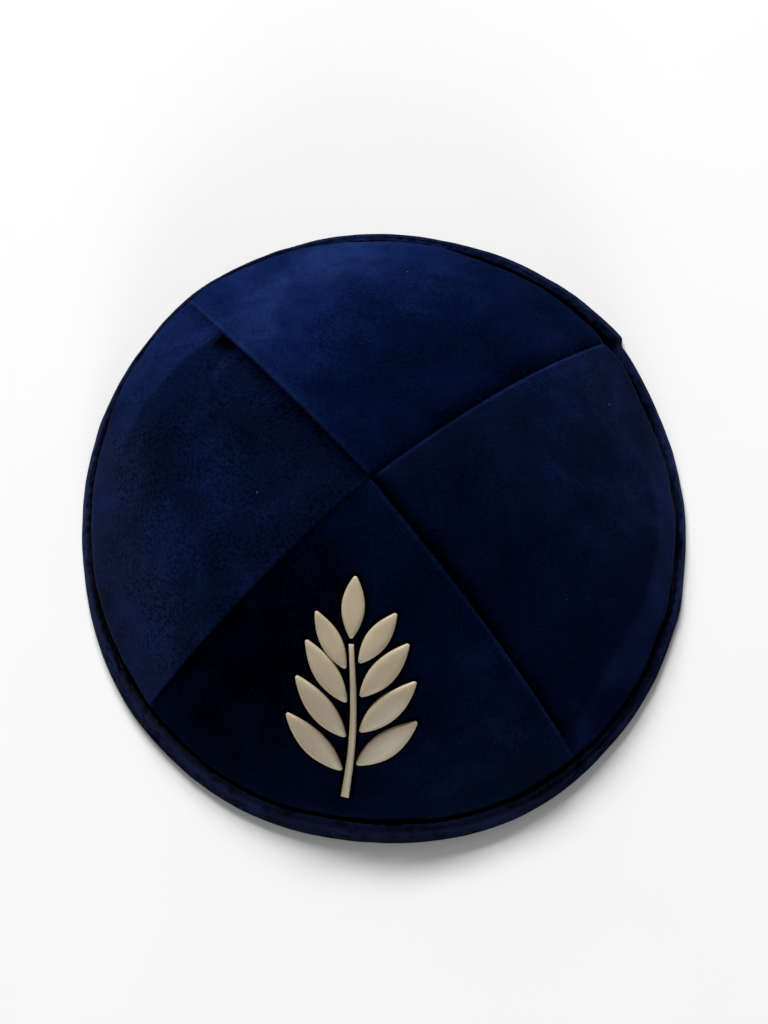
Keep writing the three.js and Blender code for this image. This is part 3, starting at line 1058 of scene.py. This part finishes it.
around = np.sort(np.concatenate([
    np.linspace(0.0, 360.0, PATH_STEPS, endpoint=False) + PATH_START,
    np.linspace(LAP_END - LAP_FINE, LAP_END + LAP_FINE, LAP_STEPS),
]))
at_rim = np.ones_like(around)
rim = dome(around, at_rim)
higher = dome(around, at_rim - SLOPE_STEP)
up_wall = (higher - rim) / np.linalg.norm(higher - rim, axis=-1, keepdims=True)
rim_travel = np.concatenate([[0.0], np.cumsum(np.linalg.norm(np.diff(rim, axis=0), axis=1))])
path = point_cloud(
    "rim_path", rim, up_wall=up_wall, facing=outward(around, at_rim), lap=table_at(LAP, around),
    top=(binding_top(around) - ROLL) * MM, bulge=table_at(BINDING_BULGES, around) * MM,
    pull=np.cos(2.0 * np.pi * rim_travel / STITCH_PITCH),
)
plain_section = section_cloud("plain_section", 0.0, 0.0)
lap_section = section_cloud("lap_section", LAP_PROUD, LAP_LEAN)
section_points = len(plain_section.data.vertices)
print(f"rim path {rim_travel[-1]:.0f} mm, section {section_points} points")

# %% Tree helpers
def new_tree(name, sockets):
    """An empty geometry tree with named inputs, its board and its input wires by name."""
    tree = bpy.data.node_groups.new(name, "GeometryNodeTree")
    tree.interface.new_socket("Geometry", in_out="INPUT", socket_type="NodeSocketGeometry")
    for key, kind in sockets.items():
        tree.interface.new_socket(key, in_out="INPUT", socket_type=f"NodeSocket{kind}")
    tree.interface.new_socket("Geometry", in_out="OUTPUT", socket_type="NodeSocketGeometry")
    board = Board(tree)
    entry = tree.nodes.new("NodeGroupInput")
    wires = {socket.name: Wire(board, socket) for socket in entry.outputs if socket.name}
    return tree, board, wires


def grow(name, tree, sizes, start=None):
    """Runs a tree on a new object with its inputs set, and keeps the result as a plain mesh."""
    piece = new_object(name, start or bpy.data.meshes.new(name))
    modifier = piece.modifiers.new(tree.name, "NODES")
    modifier.node_group = tree
    for item in tree.interface.items_tree:
        if item.in_out == "INPUT" and item.name in sizes:
            modifier[item.identifier] = sizes[item.name]
    bpy.context.view_layer.update()
    result = piece.evaluated_get(bpy.context.evaluated_depsgraph_get())
    mesh = bpy.data.meshes.new_from_object(result)
    piece.modifiers.remove(modifier)
    piece.data = mesh
    mesh.name = name
    return piece


def vector_sum(board, operation, first, second):
    """Two vectors added, or combined in another way."""
    return board.node("ShaderNodeVectorMath", {"operation": operation}, {0: first, 1: second})


def scaled(board, vector, factor):
    """A vector times a number."""
    return board.node("ShaderNodeVectorMath", {"operation": "SCALE"}, {0: vector, "Scale": factor})


def sampled(board, source, index, key=None, kind="FLOAT_VECTOR"):
    """A named number of a point cloud's point, or its position."""
    if key is None:
        value = board.node("GeometryNodeInputPosition")
    else:
        value = board.node("GeometryNodeInputNamedAttribute", {"data_type": kind}, {"Name": key})
    return board.node("GeometryNodeSampleIndex", {"data_type": kind, "domain": "POINT"}, {
        "Geometry": source, "Value": value, "Index": index,
    })


def geometry_of(board, wire):
    """The mesh of an object that a tree is given."""
    return board.node("GeometryNodeObjectInfo", None, {"Object": wire}, "Geometry")


def end_tree(board, geometry, finish):
    """Ends a tree in one plain, smooth mesh with its finish."""
    smooth = board.node("GeometryNodeSetShadeSmooth", None, {"Geometry": geometry})
    solid = board.node("GeometryNodeRealizeInstances", None, {"Geometry": smooth})
    done = board.node("GeometryNodeSetMaterial", None, {"Geometry": solid, "Material": finish})
    board.node("NodeGroupOutput", None, {"Geometry": done})


print("node trees before the binding:", len(bpy.data.node_groups))

# %% The sweeping tree
BINDING_PUCKER = 0.12
BINDING_UNEVEN = 0.5
WOBBLE_SCALE = 110.0  # waves in a metre of the strip's unevenness
WELD = 1e-6
LOWEST = (-1.0, -1.0, 0.0)  # no point lies below the floor


def sweeping_tree():
    """A tree that carries a section along a path, and changes it into another where it laps."""
    tree, board, given = new_tree("swept_strip", {
        "Path": "Object", "Section": "Object", "Lap Section": "Object", "Steps": "Int", "Points": "Int",
        "Rim Lift": "Float", "Pucker": "Float", "Unevenness": "Float", "Finish": "Material",
    })
    columns = given["Points"] + 1.0
    grid = board.node("GeometryNodeMeshGrid", None, {
        "Vertices X": given["Steps"] + 1.0, "Vertices Y": columns,
    })
    index = board.node("GeometryNodeInputIndex")
    row = board.node("ShaderNodeMath", {"operation": "FLOOR"}, {0: (index + 0.5) / columns})
    column = (index - row * columns) % given["Points"]
    row = row % given["Steps"]
    rim_path = geometry_of(board, given["Path"])
    plain = geometry_of(board, given["Section"])
    lapped = geometry_of(board, given["Lap Section"])

    def on_path(key):
        return sampled(board, rim_path, row, key, "FLOAT")

    def on_section(key):
        return sampled(board, plain, column, key, "FLOAT")

    def part_of(vector, axis):
        return board.node("ShaderNodeSeparateXYZ", None, {0: vector}, axis)

    place = board.node("ShaderNodeMix", {"data_type": "VECTOR"}, {
        0: on_path("lap"), 4: sampled(board, plain, column), 5: sampled(board, lapped, column),
    }, 1)
    facing = sampled(board, rim_path, row, "facing")
    up_wall = sampled(board, rim_path, row, "up_wall")
    out = part_of(place, "Y") + on_section("bulge") * on_path("bulge")
    to_floor = (given["Rim Lift"] + out * part_of(facing, "Z")) / part_of(up_wall, "Z")
    up = part_of(place, "X") + on_section("top") * on_path("top") - on_section("floor") * to_floor
    above_rim = vector_sum(board, "ADD", sampled(board, rim_path, row), scaled(board, up_wall, up))
    wobble = board.node("ShaderNodeTexNoise", {"noise_dimensions": "3D"}, {
        "Vector": above_rim, "Scale": WOBBLE_SCALE, "Detail": 1.0,
    }, "Fac")
    pull = on_path("pull") * on_section("edge")
    out = out - pull * given["Pucker"] + (wobble - 0.5) * given["Unevenness"]
    spot = vector_sum(board, "ADD", above_rim, scaled(board, facing, out))
    spot = vector_sum(board, "MAXIMUM", spot, LOWEST)
    swept = board.node("GeometryNodeSetPosition", None, {"Geometry": grid, "Position": spot})
    closed = board.node("GeometryNodeMergeByDistance", None, {"Geometry": swept, "Distance": WELD})
    end_tree(board, board.node("GeometryNodeFlipFaces", None, {"Mesh": closed}), given["Finish"])
    return tree


binding = grow("binding_strip", sweeping_tree(), {
    "Path": path, "Section": plain_section, "Lap Section": lap_section,
    "Steps": len(around), "Points": section_points, "Rim Lift": RIM_LIFT * MM,
    "Pucker": BINDING_PUCKER * MM, "Unevenness": BINDING_UNEVEN * MM, "Finish": binding_velvet,
})
for helper in (path, plain_section, lap_section):
    bpy.data.objects.remove(helper)
print("binding:", len(binding.data.polygons), "faces")

# %% Binding finish and place
# angle, and how light the strip's pile is there, with painted light in it
BINDING_NAP_AND_LIGHT = (
    (0, 0.66), (50, 0.44), (90, 0.34), (140, 0.40), (180, 0.57), (225, 0.48), (270, 0.46), (320, 0.37),
)
STRIP_TOP = 0.8  # the strip's outer face ends at this share of the height of its edge
CREST_AT = 0.85  # the strip is painted lightest at this share of its height, a painted highlight on its crest
CREST_REACH = 0.3
STRIP_CREST_HIGHLIGHT = 0.3
# angle, and how much painted shade darkens the strip's upper edge beside the groove
EDGE_DARKS = (
    (0, 0.55), (28, 0.2), (38, 0.25), (45, 0.15), (60, 0.15), (80, 0.0), (130, 0.2), (160, 0.55),
    (210, 0.55), (235, 0.25), (270, 0.1), (310, 0.1), (335, 0.45),
)
EDGE_CLIMB = (0.81, 0.99)
STREAK = 0.3  # streaks of pile are drawn out along the strip by one over this
# angle, and how grey it is there, for dust and wear and for a painted sheen
BINDING_DUST_AND_SHEEN = ((0, 0.35), (90, 0.2), (180, 0.7), (225, 1.0), (270, 1.5), (320, 0.6))
BINDING_GRAIN = 0.85


def vertex_points(piece):
    """The vertices of a piece, in millimetres."""
    points = np.zeros(len(piece.data.vertices) * 3)
    piece.data.vertices.foreach_get("co", points)
    return points.reshape(-1, 3) / MM


ring = vertex_points(binding)
ring_angle = np.degrees(np.arctan2(ring[:, 1], ring[:, 0]))
climb = ring[:, 2] / (RIM_LIFT + STRIP_TOP * table_at(BINDING_TOPS, ring_angle))
# a painted highlight along the roll's crest, and painted shade at its upper edge by the groove
crest = bell(climb - CREST_AT, CREST_REACH)
ring_tone = table_at(BINDING_NAP_AND_LIGHT, ring_angle) + STRIP_CREST_HIGHLIGHT * (crest - 0.5)
ring_tone -= table_at(EDGE_DARKS, ring_angle) * ease(climb, *EDGE_CLIMB)
add_number(binding.data, "nap", ring_tone)
add_number(binding.data, "dust", table_at(BINDING_DUST_AND_SHEEN, ring_angle))
add_number(binding.data, "grain", np.full(len(ring), BINDING_GRAIN))
ring_flat = np.stack([ring[:, 2], np.radians(ring_angle) * WALL_HALF_LENGTH * STREAK], axis=-1)
add_cloth_uv(binding, ring_flat)
as_piece(binding, "velvet_binding", "rim_binding")
print("binding reaches", ring.min(0).round(2), ring.max(0).round(2))

# %% [markdown]
# ## The sprig
#
# The ornament is a soft moulded relief in satin cream: a stem with leaves on both sides, each a
# low pad with a flat top and rounded shoulders, in a bed of pile that it has pressed down and that
# fades into the gore round it. The bed is painted darker, for the pressed pile and for painted
# shade round the pad. A pad could be modelled where it lies, but each leaf is drawn flat
# from a few numbers and laid on the front gore, so that it bends with the cloth.

# %% Cream finish
CLOUDY = (5.0, 3.0)
FINE = (0.5, 2.0)
CLOUDY_SHARE = 0.75
CREAM_STOPS = ((0.2, (0.455, 0.372, 0.252)), (0.8, (0.545, 0.455, 0.320)))
CREAM_BUMP = 0.12
CREAM_DEPTH = 0.2
CREAM_SATIN = 0.34
CREAM_DULLER = 0.12
BED_PILE = 0.2
BED_DUST = 0.6


def satin_cream(name):
    """The ornament's satin cream, a little cloudy."""
    material, board = new_finish(name)
    place = object_place(board)
    cloudy = noise(board, place, *CLOUDY)
    fine = noise(board, place, *FINE)
    tone = cloudy * CLOUDY_SHARE + fine * (1.0 - CLOUDY_SHARE)
    finish_surface(
        board, Base_Color=ramp(board, CREAM_STOPS, tone), Roughness=cloudy * CREAM_DULLER + CREAM_SATIN,
        Specular_IOR_Level=0.45, Normal=bumps(board, CREAM_BUMP, CREAM_DEPTH, fine),
    )
    return material


def pressed_pile(name):
    """The pile that the ornament presses down, with no nicks and no sheen; its tone carries painted shade
    round the pad.
    """
    material, board = new_finish(name)
    patches, pile = patches_and_pile(board, object_place(board))
    tone = number_on(board, "nap") + patches * GORE_PATCHES + pile * BED_PILE
    colour = mixed(board, tone * BED_DUST, ramp(board, VELVET_STOPS, tone), COOL_DUST_AND_SHEEN, "ADD")
    finish_surface(board, Base_Color=colour, Roughness=1.0, Specular_IOR_Level=0.0)
    return material


cream = satin_cream("satin_cream")
bed = pressed_pile("pressed_pile")
print("cream:", len(cream.node_tree.nodes), "nodes")

# %% A drawing laid on the gore
SPRIG_FOOT = 87.0
SPRIG_SIDE = -1.2
SPRIG_SINK = 0.5  # the pads are pressed this far into the pile
FRONT = 270.0
FRONT_STEPS = 2000

down_front = np.linspace(0.0, 1.0, FRONT_STEPS + 1)
front_line = dome(np.full_like(down_front, FRONT), down_front)
front_travel = np.concatenate([[0.0], np.cumsum(np.linalg.norm(np.diff(front_line, axis=0), axis=1))])


def front_spot(x, y):
    """Angle and share of the wall of a point of the flat drawing, laid on the front gore."""
    share = np.interp(SPRIG_FOOT - y, front_travel, down_front)
    span = reach(np.full_like(share, FRONT), share)
    return FRONT + np.degrees(np.arcsin((SPRIG_SIDE + x) / span)), share


def slab_on_front(x, y, top):
    """A slab from a height over the front gore's cloth down to the pads' undersides."""
    degrees, share = front_spot(x, y)
    cloth = waves(SOFT_WAVES, dome(degrees, share)) + binding_dive(degrees, share)
    layers = on_wall(degrees, share, cloth + top), on_wall(degrees, share, cloth - SPRIG_SINK)
    return np.concatenate([layer.reshape(-1, 3) for layer in layers])


print(f"the front gore is {front_travel[-1]:.1f} mm long down its middle")

# %% Pads
# height of a pad over the cloth, at its edge and on top
SPRIG_EDGE = 0.5
SPRIG_TOP = 1.35
BED_MARGIN = 1.5  # a pad presses the pile down this far round it
BED_TOP = 0.14
BED_SINKS = 0.8  # share of that height that is gone at the bed's edge
BED_ENDS = 0.4  # share of the margin that is left at the ends
# the bed is painted darker, for pressed pile and for painted shade round the pad
BED_DARK = 0.5
PAD_ROWS = 60
PAD_COLUMNS = 24
# how square a pad's ends and shoulders are
PAD_ENDS = 6
PAD_SHOULDERS = 3.2


def drawn_grid(middle, half_width, length, margin):
    """Points along a drawn line, out to a margin round it: how far across it and how far from its
    ends each lies, its place on the drawing, and its share of the way over the margin."""
    along = (1.0 - np.cos(np.linspace(0.0, np.pi, PAD_ROWS + 1)))[:, None] / 2.0
    across = np.sin(np.linspace(-np.pi / 2.0, np.pi / 2.0, PAD_COLUMNS + 1))[None, :]
    ends = np.sqrt(1.0 - np.abs(2.0 * along - 1.0) ** PAD_ENDS)
    drawn = along + (2.0 * along - 1.0) * margin / length
    x, y = middle(drawn)
    ahead_x, ahead_y = middle(drawn + SLOPE_STEP)
    step = np.hypot(ahead_x - x, ahead_y - y)
    sideways = across * (half_width(drawn) + margin * (BED_ENDS + (1.0 - BED_ENDS) * ends))
    past_side = np.maximum(np.abs(sideways) - half_width(drawn), 0.0)
    past_end = np.maximum(np.abs(drawn - 0.5) - 0.5, 0.0) * length
    beyond = np.clip(np.hypot(past_side, past_end) / BED_MARGIN, 0.0, 1.0)
    beside_x = x - (ahead_y - y) / step * sideways
    beside_y = y + (ahead_x - x) / step * sideways
    return across, ends, beside_x, beside_y, beyond


def pad(name, node, middle, half_width, length):
    """A raised pad with a flat top and rounded shoulders, and the bed of pressed pile round it."""
    across, ends, x, y, _ = drawn_grid(middle, half_width, length, 0.0)
    shoulder = np.sqrt(np.clip(1.0 - np.abs(across) ** PAD_SHOULDERS, 0.0, 1.0)) * ends
    raised = slab_on_front(x, y, SPRIG_EDGE + (SPRIG_TOP - SPRIG_EDGE) * shoulder)
    _, _, x, y, beyond = drawn_grid(middle, half_width, length, BED_MARGIN)
    pressed = slab_on_front(x, y, BED_TOP * (1.0 - BED_SINKS * beyond))
    faces = np.concatenate(closed_slab(PAD_ROWS, PAD_COLUMNS))
    both = np.concatenate([faces, faces + len(raised)])
    piece = mesh_piece(name, np.concatenate([raised, pressed]), both.tolist(), [cream, bed])
    finish = np.repeat(np.arange(2, dtype=np.int32), len(faces))
    piece.data.polygons.foreach_set("material_index", finish)
    # painted shade and pressed pile: the bed darkens towards the pad
    tone = nap_and_light_tone("front", dome(*front_spot(x, y))) - BED_DARK * (1.0 - ease(beyond))
    add_number(piece.data, "nap", np.tile(tone.ravel(), 4))
    return as_piece(piece, "raised_ornament", node)


print("pad grid:", PAD_ROWS, "by", PAD_COLUMNS, "fields")

# %% Leaves and stem
# place up the stem, side, length, width, lean away from the stem
LEAVES = (
    (8, -1, 20, 7.4, 50), (10, 1, 20, 7.4, 50), (18, -1, 19.5, 7.2, 45),
    (20, 1, 19.5, 7.2, 45), (28, -1, 18, 6.8, 40), (30, 1, 18, 6.8, 40),
    (37, -1, 15.5, 6, 34), (39, 1, 15.5, 6, 34), (45, 0, 16, 6.2, 0),
)
LEAF_TIP = 0.6
LEAF_FULLNESS = 0.85
LEAF_STAND_OFF = 1.9
STEM_LENGTH = 43.5
STEM_WIDTHS = (2.2, 1.4)
STEM_SWAY = 1.6


def stem_at(y):
    """How far the stem sways to the side."""
    return STEM_SWAY * np.sin(np.pi * y / STEM_LENGTH)


def leaf(number, up, side, length, width, lean):
    """A leaf beside the stem, or on top of it."""
    angle = math.radians(90.0 - side * lean)
    foot_x = stem_at(up) + side * LEAF_STAND_OFF

    def middle(along):
        return foot_x + along * length * math.cos(angle), up + along * length * math.sin(angle)

    def half_width(along):
        outline = np.sin(np.pi * np.clip(along, 0.0, 1.0)) ** LEAF_FULLNESS
        return (LEAF_TIP + (width - LEAF_TIP) * outline) / 2.0

    return pad(f"sprig_leaf_{number}", f"ornament_leaf_{number}", middle, half_width, length)


def stem():
    """The stem, which sways a little and narrows to its top."""
    def middle(along):
        return stem_at(along * STEM_LENGTH), along * STEM_LENGTH

    def half_width(along):
        return (STEM_WIDTHS[0] + (STEM_WIDTHS[1] - STEM_WIDTHS[0]) * along) / 2.0

    return pad("sprig_stem", "ornament_stem", middle, half_width, STEM_LENGTH)


sprig = [leaf(number + 1, *row) for number, row in enumerate(LEAVES)] + [stem()]
print("sprig:", len(sprig), "pads of", len(sprig[0].data.polygons), "faces")

# %% [markdown]
# ## Thread
#
# The seams are sewn with navy thread that shows as fine bars down in the seams. Each bar could be
# set by hand, but a stitch repeats along a path, so Geometry Nodes place it: the path is resampled
# by the stitch pitch, and a small slug of thread is put on each point and turned by the path's
# direction and the cloth's outward side.

# %% Thread finish
TWIST = (0.4, 1.0)
THREAD_STOPS = ((0.3, (0.0004, 0.0008, 0.003)), (0.7, (0.0012, 0.0022, 0.008)))
THREAD_SATIN = 0.6
THREAD_DULLER = 0.2


def thread_finish(name):
    """Navy thread with a fine twist."""
    material, board = new_finish(name)
    twist = noise(board, object_place(board), *TWIST)
    finish_surface(
        board, Base_Color=ramp(board, THREAD_STOPS, twist),
        Roughness=twist * THREAD_DULLER + THREAD_SATIN, Specular_IOR_Level=0.05,
    )
    return material


thread = thread_finish("navy_thread")
print("thread:", len(thread.node_tree.nodes), "nodes")

# %% The stitching tree
STITCH_VARIES = (0.85, 1.1)
SLUG = {"Segments": 8, "Rings": 5, "Radius": 0.5}


def stitching_tree():
    """A tree that puts a bar of thread at each stitch of a path."""
    tree, board, given = new_tree("stitches", {
        "Pitch": "Float", "Length": "Float", "Thickness": "Float", "Turn": "Float", "Seed": "Int",
        "Finish": "Material",
    })
    curve = board.node("GeometryNodeMeshToCurve", None, {"Mesh": given["Geometry"]})
    even = board.node("GeometryNodeResampleCurve", {"mode": "LENGTH"}, {
        "Curve": curve, "Length": given["Pitch"],
    })
    facing = board.node("GeometryNodeInputNamedAttribute", {"data_type": "FLOAT_VECTOR"}, {"Name": "facing"})
    stand = board.node("FunctionNodeAxesToRotation", {"primary_axis": "Z", "secondary_axis": "X"}, {
        "Primary Axis": facing, "Secondary Axis": board.node("GeometryNodeInputTangent"),
    })
    swing = board.node("FunctionNodeAxisAngleToRotation", None, {
        "Axis": (0.0, 0.0, 1.0), "Angle": given["Turn"],
    })
    turned = board.node("FunctionNodeRotateRotation", {"rotation_space": "LOCAL"}, {
        "Rotation": stand, "Rotate By": swing,
    })
    varied = board.node("FunctionNodeRandomValue", {"data_type": "FLOAT"}, {
        2: STITCH_VARIES[0], 3: STITCH_VARIES[1], "Seed": given["Seed"],
    }, 1)
    size = board.node("ShaderNodeCombineXYZ", None, {
        0: given["Length"] * varied, 1: given["Thickness"], 2: given["Thickness"],
    })
    row = board.node("GeometryNodeInstanceOnPoints", None, {
        "Points": even, "Instance": board.node("GeometryNodeMeshUVSphere", None, SLUG),
        "Rotation": turned, "Scale": size,
    })
    end_tree(board, row, given["Finish"])
    return tree


stitches = stitching_tree()
print("stitching tree:", len(stitches.nodes), "nodes")

# %% Sew the seams
STITCH_LENGTH = 1.3
STITCH_THICKNESS = 0.35
STITCH_DEPTH = 0.6
ACROSS_THE_SEAM = math.pi / 2.0
SEWN_FROM_TO = (0.03, 0.9)
SEAM_LINE_POINTS = 160


def path_mesh(name, points, facing):
    """A chain of edges that carries the cloth's outward side."""
    mesh = bpy.data.meshes.new(name)
    links = [(i, i + 1) for i in range(len(points) - 1)]
    mesh.from_pydata((points * MM).tolist(), links, [])
    add_number(mesh, "facing", facing)
    return mesh


for seed, seam_name in enumerate(SEAMS):
    share = np.linspace(*SEWN_FROM_TO, SEAM_LINE_POINTS)
    degrees = seam_angle(seam_name, share)
    line = on_wall(degrees, share, np.full_like(share, -STITCH_DEPTH))
    sewn = grow(f"thread_{seam_name}", stitches, {
        "Pitch": STITCH_PITCH * MM, "Length": STITCH_LENGTH * MM, "Thickness": STITCH_THICKNESS * MM,
        "Turn": ACROSS_THE_SEAM, "Seed": seed, "Finish": thread,
    }, path_mesh(f"line_{seam_name}", line, outward(degrees, share)))
    as_piece(sewn, "velvet_gores")
    print(sewn.name, len(sewn.data.polygons), "faces")

# %% [markdown]
# ## Cloth facts
#
# The gores and the strip are cut from flat velvet. A gore is a petal about as wide as a quarter of
# the rim and as long as the wall; the strip is as long as the rim and its lap.

print("sheets:", len(gores) + 1)

# %% [markdown]
# ## Floor, light and camera
#
# The cap lies on a white table in soft light that comes mostly from behind and from the left, so
# its shadow falls to the front and to the right. One wide, low softbox gives most of it, a weaker
# card beside it softens the shadow's edge, and a small card in front lifts the near side of the
# rim. Lamps of this size are used because a small one would draw hard edges on the table. The
# camera looks steeply down on the cap.

# %% Floor
FLOOR_HALF = 6.0
FAINT = (60.0, 2.0)
FLOOR_STOPS = ((0.0, (0.90, 0.90, 0.90)), (1.0, (0.93, 0.93, 0.93)))


def floor_finish(name):
    """A white table top."""
    material, board = new_finish(name)
    faint = noise(board, object_place(board), *FAINT)
    finish_surface(board, Base_Color=ramp(board, FLOOR_STOPS, faint), Roughness=0.9, Specular_IOR_Level=0.0)
    return material


corners = np.array([(-1, -1, 0), (1, -1, 0), (1, 1, 0), (-1, 1, 0)]) * FLOOR_HALF / MM
floor = mesh_piece("floor", corners, [(0, 1, 2, 3)], [floor_finish("white_table")])
print("floor", 2 * FLOOR_HALF, "m across")

# %% Light
ROOM_TINT = (0.96, 0.98, 1.0, 1.0)
ROOM_LIGHT = 0.14
# lamp: place and size in metres, and power in watts
LAMPS = {
    "key_light": ((-1.07, 3.12, 2.47), (2.4, 0.45), 222.0),
    "back_card": ((-1.2, 2.9, 2.05), (2.4, 2.4), 19.0),
    "front_card": ((0.2, -1.45, 0.42), (0.5, 0.5), 8.0),
}


def softbox(name, place, size, power):
    """A lamp that looks at the cap."""
    lamp = bpy.data.lights.new(name, "AREA")
    lamp.energy = power
    lamp.shape = "RECTANGLE"
    lamp.size, lamp.size_y = size
    holder = new_object(name, lamp)
    holder.location = place
    holder.rotation_euler = (-holder.location).to_track_quat("-Z", "Y").to_euler()


scene = bpy.context.scene
scene.view_settings.view_transform = "Standard"
scene.world = bpy.data.worlds.new("studio")
scene.world.use_nodes = True
room = scene.world.node_tree.nodes["Background"].inputs
room["Color"].default_value = ROOM_TINT
room["Strength"].default_value = ROOM_LIGHT
for lamp_name, row in LAMPS.items():
    softbox(lamp_name, *row)

# %% Camera
CAMERA_AZIMUTH = math.radians(6.0)
CAMERA_ELEVATION = math.radians(75.0)
CAMERA_DISTANCE = 0.55
SENSOR_WIDTH = 36.0
FOCAL_LENGTH = 69.1
LENS_SHIFT = (0.001, 0.0145)
lens = bpy.data.cameras.new("camera")
lens.sensor_width = SENSOR_WIDTH
lens.lens = FOCAL_LENGTH
lens.shift_x, lens.shift_y = LENS_SHIFT
camera = new_object("camera", lens)
camera.location = (
    CAMERA_DISTANCE * math.sin(CAMERA_AZIMUTH) * math.cos(CAMERA_ELEVATION),
    -CAMERA_DISTANCE * math.cos(CAMERA_AZIMUTH) * math.cos(CAMERA_ELEVATION),
    CAMERA_DISTANCE * math.sin(CAMERA_ELEVATION),
)
camera.rotation_euler = (math.pi / 2.0 - CAMERA_ELEVATION, 0.0, CAMERA_AZIMUTH)
scene.camera = camera
print("camera at", [round(x, 3) for x in camera.location])
